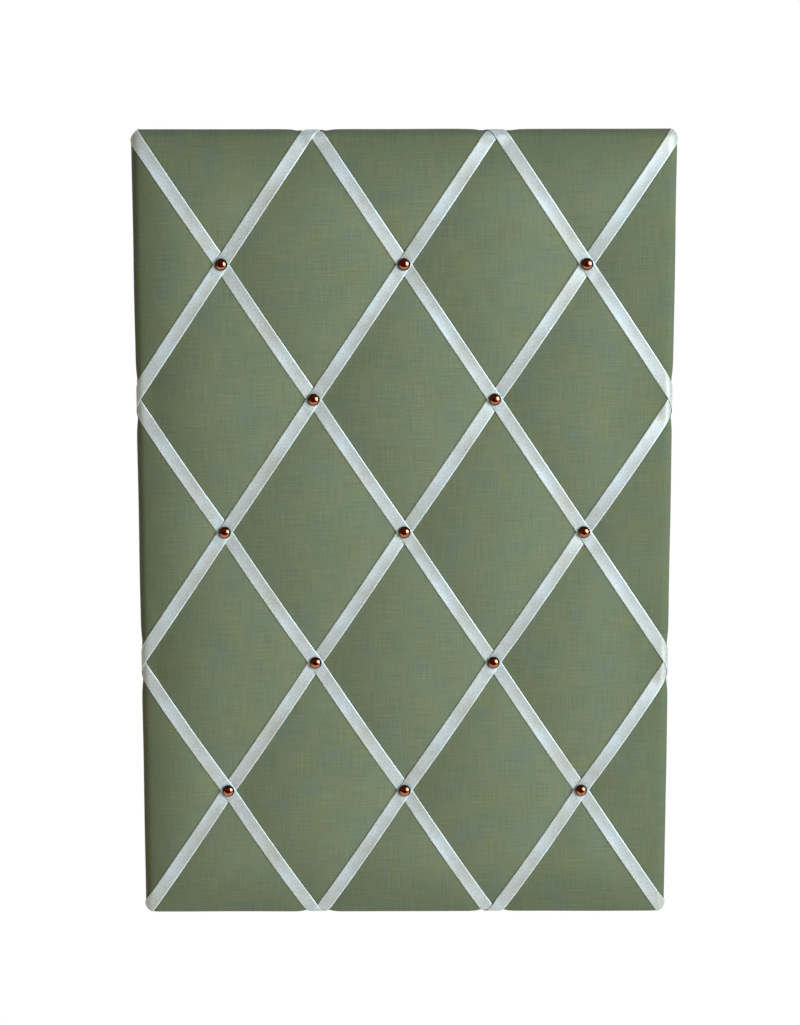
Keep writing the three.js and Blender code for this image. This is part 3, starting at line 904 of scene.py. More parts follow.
@dataclass
class Ribbons:
    """The satin ribbons, each from staple to staple in one strip."""

    sizes: Sizes
    lattice: Lattice
    front: PaddedFront
    cover: Cover
    lying: float = 0.3 * MM
    thickness: float = 0.3 * MM
    ramp: float = 7.0 * MM
    step: float = 2.5 * MM
    strips: int = 10
    tail_past_hem: float = 13.0 * MM
    settle_length: float = 4.0 * MM
    hem_step: float = 0.6 * MM
    wrap_steps: int = 40
    bend_steps: int = 9

    def build(self, finish: "Finish") -> list[Piece]:
        """Makes all the ribbons, in the order of laying."""
        return [self._ribbon(line, finish) for line in self.lattice.lines]

    def _ribbon(self, line: RibbonLine, finish: "Finish") -> Piece:
        """Makes one ribbon.

        Args:
            line: Its line.
            finish: The satin.

        Returns:
            The piece.
        """
        half = self.sizes.ribbon_width / 2
        aside = np.linspace(-half, half, self.strips + 1)
        first, last = (self.lattice.reach(line, aside, side) for side in (-1, 1))
        share = self._shares(line, float((last - first).mean()))[:, None]
        along = first * (1 - share) + last * share
        middle = self._front_points(line, along, np.broadcast_to(aside, along.shape))
        past = self._rows_past(line)
        ends, lengths = [], []
        for side, start in ((-1, first), (1, last)):
            ends.append(self._end_points(line, start, aside, past, side))
            lengths.append(self._run(line, start, past, side))
        points = np.concatenate([ends[0][::-1], middle, ends[1]])
        run = np.concatenate([lengths[0][::-1], along, lengths[1]])
        uvs = np.stack([run, np.broadcast_to(aside, run.shape)], axis=-1)
        piece = grid_sheet(f"satin_ribbon_{line.name}", points, uvs, "ribbon")
        thicken(piece, self.thickness, 1.0)
        place_piece(piece, finish, "satin", "board", f"ribbon_{line.name}")
        return piece

    def _shares(self, line: RibbonLine, length: float) -> np.ndarray:
        """Gives the rows on the front, which crowd together where a ribbon bends over a corner.

        Args:
            line: The ribbon.
            length: The length of its part on the front.

        Returns:
            The rows' places as shares of that length.
        """
        rows = round(length / self.step)
        if line.step:
            return np.linspace(0.0, 1.0, rows + 1)
        rim = self.sizes.rim / length
        bend = rim * (1 - np.sin(np.linspace(math.pi / 2, 0.0, self.bend_steps + 1)))
        flat = np.linspace(rim, 1 - rim, rows + 1)[1:-1]
        return np.concatenate([bend, flat, 1 - bend[::-1]])

    def _rows_past(self, line: RibbonLine) -> np.ndarray:
        """Gives the rows of a ribbon's end.

        Args:
            line: The ribbon.

        Returns:
            How far past the flat front they lie along the cover, as a column.
        """
        start = 0.0 if line.step else self.cover.roll_length
        stop = self.cover.wrap_length + self.sizes.hem_width + self.tail_past_hem
        return np.linspace(start, stop, self.wrap_steps + 1)[1:, None]

    def _run(
        self, line: RibbonLine, start: np.ndarray, past: np.ndarray, side: int
    ) -> np.ndarray:
        """Gives how far along the ribbon the rows of its end lie.

        Args:
            line: The ribbon.
            start: How far along each strip leaves the front.
            past: How far past the flat front the rows lie, as a column.
            side: 1 for the right end, -1 for the left one.

        Returns:
            The distances, a row for each row and a column for each strip.
        """
        if line.step:
            return start + side * past / abs(line.direction[self.lattice.leaves_by(line, side)])
        return start + side * (past - self.cover.roll_length)

    def _lift(self, line: RibbonLine, along: np.ndarray, aside: np.ndarray) -> np.ndarray:
        """Gives how far a ribbon is raised over those that were laid before it.

        Args:
            line: The ribbon.
            along: Places along it.
            aside: Places aside of its middle.

        Returns:
            The extra height.
        """
        ply = self.sizes.ribbon_thickness + self.sizes.ribbon_gap
        lift = np.zeros(along.shape)
        for crossing in self.lattice.crossings(line):
            if not crossing.over:
                continue
            way = crossing.other.direction
            slant = line.across @ way
            middle = crossing.along + aside * (line.direction @ way) / slant
            lap = self.sizes.ribbon_width / 2 / abs(slant)
            ramp = 1 - (np.abs(along - middle) - lap) / self.ramp
            lift = np.maximum(lift, ply * smoothstep(ramp))
        return lift

    def _height(self, line: RibbonLine, along: np.ndarray, aside: np.ndarray) -> np.ndarray:
        """Gives a ribbon's height over the cover at places along it and aside of its middle."""
        return self.lying + self._lift(line, along, aside)

    def _front_points(
        self, line: RibbonLine, along: np.ndarray, aside: np.ndarray
    ) -> np.ndarray:
        """Lays a ribbon over the front.

        Args:
            line: The ribbon.
            along: Places along it.
            aside: Places aside of its middle.

        Returns:
            Panel coordinates.
        """
        plan = line.plan(along, aside)
        height = self._height(line, along, aside)
        sizes = self.sizes
        way = np.maximum(np.abs(plan) - sizes.flat + sizes.corner_ease, 0.0)
        out = np.linalg.norm(way, axis=-1)
        angle = np.arcsin(np.clip((out - sizes.corner_ease) / sizes.rim, 0.0, 1.0))
        under = self.front.under_ribbon(line, along, np.abs(aside))
        level = under - sizes.rim + (sizes.rim + height) * np.cos(angle)
        shift = height * np.sin(angle)
        plan = plan + (shift / np.maximum(out, TINY))[..., None] * np.copysign(way, plan)
        return np.concatenate([plan, level[..., None]], axis=-1)

    def _end_points(
        self, line: RibbonLine, start: np.ndarray, aside: np.ndarray, past: np.ndarray, side: int
    ) -> np.ndarray:
        """Wraps a ribbon's end over the rim or the corner and in behind.

        Args:
            line: The ribbon.
            start: How far along each strip leaves the front.
            aside: How far aside of the middle each strip lies.
            past: How far past the flat front the rows lie, as a column.
            side: 1 for the right end, -1 for the left one.

        Returns:
            Panel coordinates, in rows from the front to the tail.
        """
        sizes, cover = self.sizes, self.cover
        along = self._run(line, start, past, side)
        across = np.broadcast_to(aside, along.shape)
        height = self._height(line, along, across)
        pulled = cover.pull_in * smoothstep(past / cover.roll_length) if line.step else 0.0
        out = cover.outward(past, height) - pulled
        inward = np.maximum(past - cover.wrap_length, 0.0)
        settle = smoothstep((inward - sizes.hem_width) / self.settle_length)
        level = cover.height(past, sizes.floor, height)
        level = level + settle * (sizes.ribbon_gap + self.hem_step)
        if line.step:
            axis = self.lattice.leaves_by(line, side)
            plan = line.plan(along, across)
            edge = sizes.flat[axis] + out
            plan[..., axis] = math.copysign(1.0, line.direction[axis] * side) * edge
        else:
            centre, radius = self.lattice.corner(line, side)
            outline = line.plan(start, aside) - centre
            reach = (sizes.corner_ease + out + inward)[..., None]
            plan = centre + reach * outline / radius - inward[..., None] * np.sign(centre)
        return np.concatenate([plan, level[..., None]], axis=-1)


@dataclass
class Nails:
    """The domed copper nails, turned in one piece."""

    sizes: Sizes
    radius: float = 4.75 * MM
    rise: float = 3.4 * MM
    lip: float = 0.25 * MM
    shank: float = 0.8 * MM
    length: float = 12.7 * MM
    point: float = 3.0 * MM
    dome_steps: int = 14
    sides: int = 48
    count: int = 13

    def build(self, finish: "Finish") -> None:
        """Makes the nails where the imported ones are, numbered from the top left."""
        for number in range(1, self.count + 1):
            self._nail(number, finish)

    def _nail(self, number: int, finish: "Finish") -> None:
        """Makes one nail.

        Args:
            number: Its number.
            finish: The copper.
        """
        low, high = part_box(f"nail_{number}")
        middle = (low + high) / 2
        profile = [
            (0.0, -self.length), (self.shank, self.point - self.length), (self.shank, 0.0),
            (self.radius - self.lip, 0.0), (self.radius, self.lip / 2),
            *dome(self.radius, self.lip / 2, self.rise, self.dome_steps),
        ]
        shape = bmesh.new()
        turn_profile(shape, profile, self.sides)
        # The share of the radius, which places the painted reflections on the copper
        rim = shape.verts.layers.float.new("rim")
        for vert in shape.verts:
            vert[rim] = min(1.0, math.hypot(vert.co.x, vert.co.y) / self.radius)
        stand = Matrix.Translation((middle.x, -self.sizes.nail_rim, middle.z))
        stand = stand @ Matrix.Rotation(math.pi / 2, 4, "X")
        bmesh.ops.transform(shape, matrix=stand, verts=shape.verts)
        piece = new_object(f"copper_nail_{number}", shape)
        place_piece(piece, finish, "copper", "board", f"nail_{number}")


# The back


@dataclass
class FeltLining:
    """The felt over the back: flat in the middle, on the hem all round, lifted by the staples."""

    cell: float = 4.0 * MM
    thickness: float = 1.5 * MM
    clear: float = 0.05 * MM
    hem: float = 9.0 * MM
    on_hem: float = 0.7 * MM
    slope: float = 9.0 * MM
    steep: float = 0.11
    crest: float = 2.0 * MM
    behind: float = 1.5 * MM
    ripple: float = 0.25 * MM
    ripple_length: float = 50.0 * MM

    def build(self, finish: "Finish", ribbons: Sequence[Piece]) -> None:
        """Makes the lining.

        Args:
            finish: The felt.
            ribbons: The ribbons, whose tails it covers.
        """
        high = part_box("back_lining")[1]
        half = np.array([high.x, high.z])
        counts = 2 * np.round(half / self.cell).astype(int) + 1
        x, y = np.meshgrid(*(np.linspace(-h, h, count) for h, count in zip(half, counts)))
        inset = np.minimum(half[0] - np.abs(x), half[1] - np.abs(y))
        raised = self.on_hem * smoothstep((self.hem + self.slope - inset) / self.slope)
        for spots in self._bumps(ribbons):
            away = np.hypot(-x[..., None] - spots[:, 0], y[..., None] - spots[:, 1])
            tented = spots[:, 2] - self.steep * np.maximum(away - self.crest, 0.0)
            raised = np.maximum(raised, tented.max(axis=-1))
        raised = np.minimum(raised, high.y)
        waves = np.abs(Unevenness.RIPPLE.over(x, y, self.ripple_length))
        ripple = self.ripple * waves * (1.0 - smoothstep(raised / self.on_hem))
        points = np.stack([-x, y, ripple - raised], axis=-1)
        piece = grid_sheet("felt_lining", points, np.stack([x, y], axis=-1), "cloth")
        thicken(piece, self.thickness, -1.0)
        place_piece(piece, finish, "felt", "board", "back_lining")

    def _bumps(self, ribbons: Sequence[Piece]) -> Iterator[np.ndarray]:
        """Gathers the ribbon tails and the staples.

        Args:
            ribbons: The ribbons.

        Yields:
            For one ribbon's tails, or for all the staples, rows of x, y and the rise that clears
            them.
        """
        lift = self.thickness + self.clear
        for ribbon in ribbons:
            places = np.empty(3 * len(ribbon.data.vertices))
            ribbon.data.vertices.foreach_get("co", places)
            places = places.reshape(-1, 3)[:, (0, 2, 1)]
            yield places[places[:, 2] > -self.behind] + (0.0, 0.0, Ribbons.thickness + lift)
        staples = []
        names = [ribbon.name.removeprefix("satin_ribbon_") for ribbon in ribbons]
        for name, side in itertools.product(names, SIDES):
            low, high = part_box(f"staple_{name}_{side}")
            corners = itertools.product((low.x, high.x), (low.z, high.z))
            staples += [(x, z, high.y + lift) for x, z in corners]
        yield np.array(staples)


@dataclass
class Hangers:
    """Two D-rings, each in a strip of steel folded round its bar and held by a slotted screw."""

    wire: float = 1.1 * MM
    ring_bend: float = 2.0 * MM
    ring_leg: float = 5.0 * MM
    ring_sides: int = 16
    bend_steps: int = 6
    bow_steps: int = 24
    lying: float = 0.3 * MM
    strip: float = 0.6 * MM
    strip_clear: float = 0.04 * MM
    loop: float = 2.0 * MM
    face: float = 1.5 * MM
    loop_rows: int = 30
    end_rows: int = 9
    columns: int = 15
    head_radius: float = 3.3 * MM
    head_rise: float = 1.9 * MM
    head_steps: int = 10
    head_sides: int = 40
    shank: float = 1.5 * MM
    point: float = 3.0 * MM
    slot_width: float = 0.8 * MM
    slot_depth: float = 0.9 * MM
    sharp: float = math.radians(35)

    def build(self, finish: "Finish") -> None:
        """Makes both hangers.

        Args:
            finish: The plated steel.
        """
        for side in SIDES:
            low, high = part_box(f"hanger_strap_{side}")
            bar = Vector(((low.x + high.x) / 2, high.y - self.loop, high.z - self.loop))
            ring, strap, screw = self._ring(side, bar), self._strap(side, bar), self._screw(side)
            place_piece(ring, finish, "hanger_steel", f"ring_{side}", f"hanger_ring_{side}")
            place_piece(strap, finish, "hanger_steel", "board", f"hanger_strap_{side}")
            place_piece(screw, finish, "hanger_steel", "board", f"hanger_screw_{side}")

    def _ring(self, side: str, bar: Vector) -> Piece:
        """Bends a wire into a D, lying on the strap's face.

        Args:
            side: Which hanger.
            bar: The middle of its bar.

        Returns:
            The ring.
        """
        low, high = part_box(f"hanger_ring_{side}")
        half = (high.x - low.x) / 2 - self.wire
        bend, leg = self.ring_bend, self.ring_leg
        turns = (
            ((half - bend, -bend), bend, 90, 0, self.bend_steps),
            ((0.0, -leg), half, 0, -180, self.bow_steps),
            ((bend - half, -bend), bend, 180, 90, self.bend_steps),
        )
        path = []
        for centre, radius, start, stop, steps in turns:
            angles = np.radians(np.linspace(start, stop, steps + 1))
            way = np.stack([np.cos(angles), np.sin(angles)], axis=-1)
            path.append(np.concatenate([centre + radius * way, way], axis=-1))
        path = np.concatenate(path + [path[0][:1]])
        around = np.linspace(0.0, 2 * math.pi, self.ring_sides + 1)
        out = self.wire * np.cos(around)
        x = path[:, 0, None] + path[:, 2, None] * out
        y = path[:, 1, None] + path[:, 3, None] * out
        z = np.broadcast_to(self.wire * np.sin(around), x.shape)
        lean = math.asin((self.face + self.lying + self.wire - bar.y) / (leg + half))
        up = y * math.cos(lean) + z * math.sin(lean)
        off = bar.y - y * math.sin(lean) + z * math.cos(lean)
        shape = bmesh.new()
        lay_grid(shape, np.stack([x + bar.x, up + bar.z, -off], axis=-1))
        ring = new_object(f"d_ring_{side}", shape)
        tidy_sheet(ring, WIRE_MERGE, outward=True)
        return ring

    def _strap(self, side: str, bar: Vector) -> Piece:
        """Folds a strip round the bar, with both ends rounded under the screw.

        Args:
            side: Which hanger.
            bar: The middle of its bar.

        Returns:
            The strap.
        """
        low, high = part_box(f"hanger_strap_{side}")
        half = (high.x - low.x) / 2
        end = bar.z - low.z - half
        middle = self.loop - self.strip / 2
        upper = self.face - self.strip / 2
        lower = bar.y - middle
        meets = math.pi + math.asin((bar.y - upper) / middle)
        angles = np.linspace(-math.pi / 2, meets, self.loop_rows)
        straight = np.linspace(0.0, 1.0, self.end_rows)
        columns = half * np.sin(np.linspace(-math.pi / 2, math.pi / 2, self.columns))
        rounded = end + np.sqrt(np.maximum(half**2 - columns**2, 0.0))
        back = np.outer(1 - straight, -rounded)
        back = np.stack([back, np.full(back.shape, lower)], axis=-1)
        turn = np.stack([middle * np.cos(angles), bar.y + middle * np.sin(angles)], axis=-1)
        turn = np.broadcast_to(turn[:, None, :], (self.loop_rows, self.columns, 2))
        start = turn[-1, 0, 0]
        front = start + np.outer(straight[1:], -rounded - start)
        front = np.stack([front, np.full(front.shape, upper)], axis=-1)
        route = np.concatenate([back[:-1], turn, front])
        x = np.broadcast_to(columns + bar.x, route.shape[:2])
        shape = bmesh.new()
        lay_grid(shape, np.stack([x, route[..., 0] + bar.z, -route[..., 1]], axis=-1))
        strap = new_object(f"hanger_strip_{side}", shape)
        thicken(strap, self.strip - self.strip_clear, 0.0)
        return strap

    def _screw(self, side: str) -> Piece:
        """Turns a round head and cuts its slot.

        Args:
            side: Which hanger.

        Returns:
            The screw.
        """
        low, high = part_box(f"hanger_screw_{side}")
        middle = (low + high) / 2
        tip = low.y - high.y + self.head_rise
        profile = [
            (0.0, tip), (self.shank, tip + self.point), (self.shank, 0.0), (self.head_radius, 0.0),
            *dome(self.head_radius, 0.0, self.head_rise, self.head_steps),
        ]
        shape = bmesh.new()
        turn_profile(shape, profile, self.head_sides)
        half = self.slot_width / 2
        for place in (-half, half):
            bmesh.ops.bisect_plane(
                shape, geom=shape.verts[:] + shape.edges[:] + shape.faces[:],
                plane_co=(0.0, place, 0.0), plane_no=(0.0, 1.0, 0.0),
            )
        floor = self.head_rise - self.slot_depth
        middles = [(face, face.calc_center_median()) for face in shape.faces]
        slot = [face for face, place in middles if abs(place.y) < half and place.z > floor]
        sunk = bmesh.ops.extrude_face_region(shape, geom=slot)["geom"]
        bmesh.ops.delete(shape, geom=slot, context="FACES")
        for item in sunk:
            if isinstance(item, bmesh.types.BMVert):
                item.co.z = floor
        bmesh.ops.recalc_face_normals(shape, faces=shape.faces)
        stand = Matrix.Translation((middle.x, high.y - self.head_rise, middle.z))
        stand = stand @ Matrix.Rotation(-math.pi / 2, 4, "X")
        bmesh.ops.transform(shape, matrix=stand, verts=shape.verts)
        screw = new_object(f"slotted_screw_{side}", shape)
        screw.data.set_sharp_from_angle(angle=self.sharp)
        return screw


# Finishes


# The sockets of a Mix node that mixes colours: its factor, the two colours and the mixed one
FACTOR, FIRST, SECOND, MIXED = 0, 6, 7, 2


def linear(code: str) -> tuple[float, float, float, float]:
    """Turns an sRGB hex colour into a linear one.

    Args:
        code: The colour as #rrggbb.

    Returns:
        Red, green, blue and an alpha of 1.
    """
    parts = [int(code[i:i + 2], 16) / 255 for i in (1, 3, 5)]
    red, green, blue = (
        c / 12.92 if c <= 0.04045 else ((c + 0.055) / 1.055) ** 2.4 for c in parts
    )
    return red, green, blue, 1.0


def fill_inputs(tree: Nodes, node: bpy.types.Node, inputs: Mapping[Any, Any]) -> None:
    """Fills a node's inputs.

    Args:
        tree: The nodes that it is among.
        node: The node.
        inputs: A value, or a socket to link, for each named or numbered input.
    """
    for key, value in inputs.items():
        if isinstance(value, Socket):
            tree.links.new(value, node.inputs[key])
        else:
            node.inputs[key].default_value = value


def add_node(
    tree: Nodes, kind: str, inputs: Mapping[Any, Any] | None = None, out: int | str = 0,
    **settings: Any,
) -> Socket:
    """Adds a node with its settings and links.

    Args:
        tree: The material's or the world's nodes.
        kind: The node's type, after ShaderNode.
        inputs: A value, or a socket to link, for each named or numbered input.
        out: The output that is wanted.
        settings: Values of the node's own settings.

    Returns:
        That output.
    """
    node = tree.nodes.new(f"ShaderNode{kind}")
    for name, value in settings.items():
        setattr(node, name, value)
    fill_inputs(tree, node, inputs or {})
    return node.outputs[out]


def new_material(name: str) -> tuple[bpy.types.Material, Nodes, bpy.types.Node]:
    """Makes a material.

    Args:
        name: Its name.

    Returns:
        The material, its nodes and its Principled shader.
    """
    made = bpy.data.materials.new(name)
    made.use_nodes = True
    return made, made.node_tree, made.node_tree.nodes["Principled BSDF"]


def band_scale(period: float) -> float:
    """Gives the scale of a wave texture, 20 radians to the metre at 1, for a period in metres."""
    return 2 * math.pi / 20 / period


@dataclass(frozen=True)
class Finish:
    """A finish with its own material."""

    name: str

    def material(self) -> bpy.types.Material:
        """Makes the material, once.

        Returns:
            The material, which all pieces of this finish share.
        """
        found = bpy.data.materials.get(self.name)
        if found:
            return found
        made, tree, shader = new_material(self.name)
        self.dress(tree, shader)
        return made

    def dress(self, tree: Nodes, shader: bpy.types.Node) -> None:
        """Adds the finish's own nodes."""
        raise NotImplementedError

    def mix(
        self, tree: Nodes, value: Socket, ends: tuple[float, float], low: Any, high: Any
    ) -> Socket:
        """Mixes two colours by where a value lies between two ends.

        Args:
            tree: The material's nodes.
            value: The value.
            ends: Where it gives the first colour alone, and where the second.
            low: The first colour, or a socket that has it.
            high: The second colour.

        Returns:
            The mixed colour.
        """
        share = add_node(
            tree, "MapRange", {"Value": value, "From Min": ends[0], "From Max": ends[1]}
        )
        return add_node(
            tree, "Mix", {FACTOR: share, FIRST: low, SECOND: high}, MIXED, data_type="RGBA"
        )


@dataclass(frozen=True, kw_only=True)
class Linen(Finish):
    """Plain-weave linen: matt, with uneven threads and a dye that drifts from olive to sage.

    Painted shade darkens it towards the edges, and a painted shadow runs beside the ribbons along
    their sides.
    """

    pitch: tuple[float, float]
    name: str = "sage_linen_plain_weave"
    dark: str = "#5d684f"
    light: str = "#869279"
    olive: str = "#fdf7dc"
    sage: str = "#e7f2f8"
    # Painted shade: the colour that darkens the cloth towards the edges
    painted_edge_shade: str = "#e6e7df"
    # Real threads are about 0.5 mm apart, too fine for the picture, so they are twice as coarse
    thread: float = 1.0 * MM
    slub_width: float = 0.7 * MM
    slub_length: float = 24.0 * MM
    blotch: float = 60.0 * MM
    drifts_per_blotch: float = 2.2
    weave_share: float = 0.7
    blotch_share: float = 0.4
    tones: tuple[float, float] = (0.45, 1.95)
    drifts: tuple[float, float] = (0.3, 0.7)
    slub_rise: float = 0.3
    relief: float = 0.25 * MM
    # Painted shadow beside the ribbons: its brightness, its ends aside of a ribbon's middle, and
    # how many steps out they go
    shadow_tone: float = 0.68
    painted_shadow: tuple[float, float] = (5.2 * MM, 6.3 * MM)
    outermost: float = 2.5

    def dress(self, tree: Nodes, shader: bpy.types.Node) -> None:
        """Weaves the threads, the slubs and the drift of the dye.

        Args:
            tree: The material's nodes.
            shader: Its Principled shader.
        """
        cloth = add_node(tree, "UVMap", out="UV", uv_map="cloth")
        weave, slub = self._threads(tree, cloth)
        blotch = add_node(
            tree, "TexNoise", {"Vector": cloth, "Scale": 1 / self.blotch, "Detail": 3.0}, "Fac"
        )
        drift = add_node(
            tree, "TexNoise",
            {"Vector": cloth, "Scale": self.drifts_per_blotch / self.blotch, "Detail": 6.0,
             "Roughness": 0.62},
            "Fac",
        )
        tone = slub
        for part, share in ((weave, self.weave_share), (blotch, self.blotch_share)):
            tone = add_node(tree, "Math", {0: part, 1: share, 2: tone}, operation="MULTIPLY_ADD")
        colour = self.mix(tree, tone, self.tones, linear(self.dark), linear(self.light))
        dye = self.mix(tree, drift, self.drifts, linear(self.olive), linear(self.sage))
        # How much painted shade darkens the cloth towards the edges
        edge = add_node(tree, "Attribute", out="Fac", attribute_name="edge")
        # Painted shadows along the ribbons' selvedges
        painted_shadows = [self._painted_shadow(tree, cloth, lean) for lean in Lean]
        shades = ((1.0, dye), (edge, linear(self.painted_edge_shade)), *((1.0, painted_shadow) for painted_shadow in painted_shadows))
        for share, shade in shades:
            colour = add_node(
                tree, "Mix", {FACTOR: share, FIRST: colour, SECOND: shade}, MIXED,
                data_type="RGBA", blend_type="MULTIPLY",
            )
        height = add_node(
            tree, "Math", {0: slub, 1: self.slub_rise, 2: weave}, operation="MULTIPLY_ADD"
        )
        bump = add_node(
            tree, "Bump", {"Strength": 0.3, "Distance": self.relief, "Height": height}
        )
        fill_inputs(tree, shader, {
            "Base Color": colour, "Normal": bump, "Roughness": 0.92, "Specular IOR Level": 0.25,
            "Sheen Weight": 0.12, "Sheen Roughness": 0.6,
        })

    def _painted_shadow(self, tree: Nodes, cloth: Socket, lean: Lean) -> Socket:
        """Paints the shadow in the groove that one set of ribbons presses into the cloth along its
        selvedges.

        Args:
            tree: The material's nodes.
            cloth: Places on the flat cloth.
            lean: Which way the ribbons run.

        Returns:
            The brightness.
        """
        across, up = self.pitch
        steps = add_node(
            tree, "VectorMath", {0: cloth, 1: (-lean.value / across, 1 / up, 0.0)}, "Value",
            operation="DOT_PRODUCT",
        )
        laid = add_node(
            tree, "Clamp", {"Value": steps, "Min": -self.outermost, "Max": self.outermost}
        )
        nearest = add_node(tree, "Math", {0: laid, 1: 0.5}, operation="PINGPONG")
        apart = across * up / math.hypot(across, up)
        start, stop = (place / apart for place in self.painted_shadow)
        return add_node(
            tree, "MapRange",
            {"Value": nearest, "From Min": start, "From Max": stop, "To Min": self.shadow_tone,
             "To Max": 1.0},
        )

    def _threads(self, tree: Nodes, cloth: Socket) -> tuple[Socket, Socket]:
        """Draws the two sets of threads.

        Args:
            tree: The material's nodes.
            cloth: Places on the flat cloth.

        Returns:
            The weave's over and under, and the threads' uneven thickness.
        """
        waves, slubs = [], []
        bands = {
            "Vector": cloth, "Scale": band_scale(2 * self.thread), "Distortion": 1.6,
            "Detail": 2.0, "Detail Scale": 0.35,
        }
        long, thin = 1 / self.slub_length, 1 / self.slub_width
        for direction, scale in (("X", (long, thin, 1.0)), ("Y", (thin, long, 1.0))):
            wave = add_node(
                tree, "TexWave", bands, "Fac", wave_type="BANDS", bands_direction=direction
            )
            waves.append(add_node(tree, "Math", {0: wave, 1: 0.5}, operation="SUBTRACT"))
            stretched = add_node(tree, "Mapping", {"Vector": cloth, "Scale": scale})
            slubs.append(add_node(
                tree, "TexNoise", {"Vector": stretched, "Scale": 1.0, "Detail": 2.0}, "Fac"
            ))
        weave = add_node(tree, "Math", dict(enumerate(waves)), operation="MULTIPLY")
        return weave, add_node(tree, "Math", dict(enumerate(slubs)), operation="ADD")


@dataclass(frozen=True)
class Satin(Finish):
    """Woven satin ribbon: long floats that shine where they slope to the light, pale selvedges, and
    painted warm reflections in soft clouds.
    """

    name: str = "silver_satin_ribbon"
    dull: str = "#c4d8d9"
    bright: str = "#f7fffe"
    # Painted warm reflection, laid in soft clouds over the ribbon
    painted_warm_reflection: str = "#e9e3d6"
    silver: str = "#fbffff"
    width: float = Sizes.ribbon_width
    float_width: float = 0.22 * MM
    float_length: float = 6.0 * MM
    # Single floats are too fine for the picture, so their sparkle is drawn as a coarser grain
    grain: float = 1.3 * MM
    cloud: float = 34.0 * MM
    stitch: float = 2.2 * MM
    stitch_depth: float = 0.02
    warp_share: float = 0.7
    tones: tuple[float, float] = (0.55, 1.15)
    clouds: tuple[float, float] = (0.35, 0.65)
    selvedge_rise: float = 1.5
    relief: float = 0.1 * MM
    # Share of the width, and brightness: a selvedge, a stitched line, the body, a selvedge
    section: tuple[tuple[float, float], ...] = (
        (0.0, 1.0), (0.11, 1.0), (0.135, 0.68), (0.165, 0.825),
        (0.86, 0.825), (0.88, 0.78), (0.9, 0.92), (1.0, 0.92),
    )

    def dress(self, tree: Nodes, shader: bpy.types.Node) -> None:
        """Draws the floats, the grain and the selvedges.

        Args:
            tree: The material's nodes.
            shader: Its Principled shader.
        """
        place = add_node(tree, "UVMap", out="UV", uv_map="ribbon")
        floats = add_node(
            tree, "Mapping",
            {"Vector": place, "Scale": (1 / self.float_length, 1 / self.float_width, 1.0)},
        )
        warp, grain, cloud = (
            add_node(tree, "TexNoise", {"Vector": where, "Scale": scale, "Detail": 2.0}, "Fac")
            for where, scale in ((floats, 1.0), (place, 1 / self.grain), (place, 1 / self.cloud))
        )
        tone = add_node(
            tree, "Math", {0: warp, 1: self.warp_share, 2: grain}, operation="MULTIPLY_ADD"
        )
        colour = self.mix(tree, tone, self.tones, linear(self.dull), linear(self.bright))
        reflection_tint = self.mix(tree, cloud, self.clouds, linear(self.painted_warm_reflection), linear(self.silver))
        bands = self._selvedges(tree, place)
        for shade in (reflection_tint, bands):
            colour = add_node(
                tree, "Mix", {FACTOR: 1.0, FIRST: colour, SECOND: shade}, MIXED,
                data_type="RGBA", blend_type="MULTIPLY",
            )
        height = add_node(
            tree, "Math", {0: bands, 1: self.selvedge_rise, 2: warp}, operation="MULTIPLY_ADD"
        )
        bump = add_node(
            tree, "Bump", {"Strength": 0.2, "Distance": self.relief, "Height": height}
        )
        rough = add_node(tree, "MapRange", {"Value": grain, "To Min": 0.46, "To Max": 0.58})
        tangent = add_node(tree, "Tangent", direction_type="UV_MAP", uv_map="ribbon")
        fill_inputs(tree, shader, {
            "Base Color": colour, "Normal": bump, "Roughness": rough, "Tangent": tangent,
            "Metallic": 0.22, "Anisotropic": 0.2, "Anisotropic Rotation": 0.25,
            "Specular IOR Level": 1.0,
        })

    def _selvedges(self, tree: Nodes, place: Socket) -> Socket:
        """Draws the bands across the ribbon, with stitches along the inside of one selvedge.

        Args:
            tree: The material's nodes.
            place: Places on the flat ribbon.

        Returns:
            The brightness.
        """
        across = add_node(tree, "SeparateXYZ", {0: place}, "Y")
        share = add_node(
            tree, "Math", {0: across, 1: 1 / self.width, 2: 0.5}, operation="MULTIPLY_ADD"
        )
        bands = {
            "Vector": place, "Scale": band_scale(self.stitch), "Distortion": 3.0,
            "Detail Scale": 0.3,
        }
        stitches = add_node(tree, "TexWave", bands, "Fac", wave_type="BANDS", bands_direction="X")
        moved = add_node(
            tree, "Math", {0: stitches, 1: self.stitch_depth, 2: share}, operation="MULTIPLY_ADD"
        )
        shade = add_node(tree, "ValToRGB", {0: moved})
        stops = shade.node.color_ramp.elements
        while len(stops) < len(self.section):
            stops.new(0.5)
        for stop, (position, value) in zip(stops, self.section):
            stop.position = position
            stop.color = (value, value, value, 1.0)
        return shade


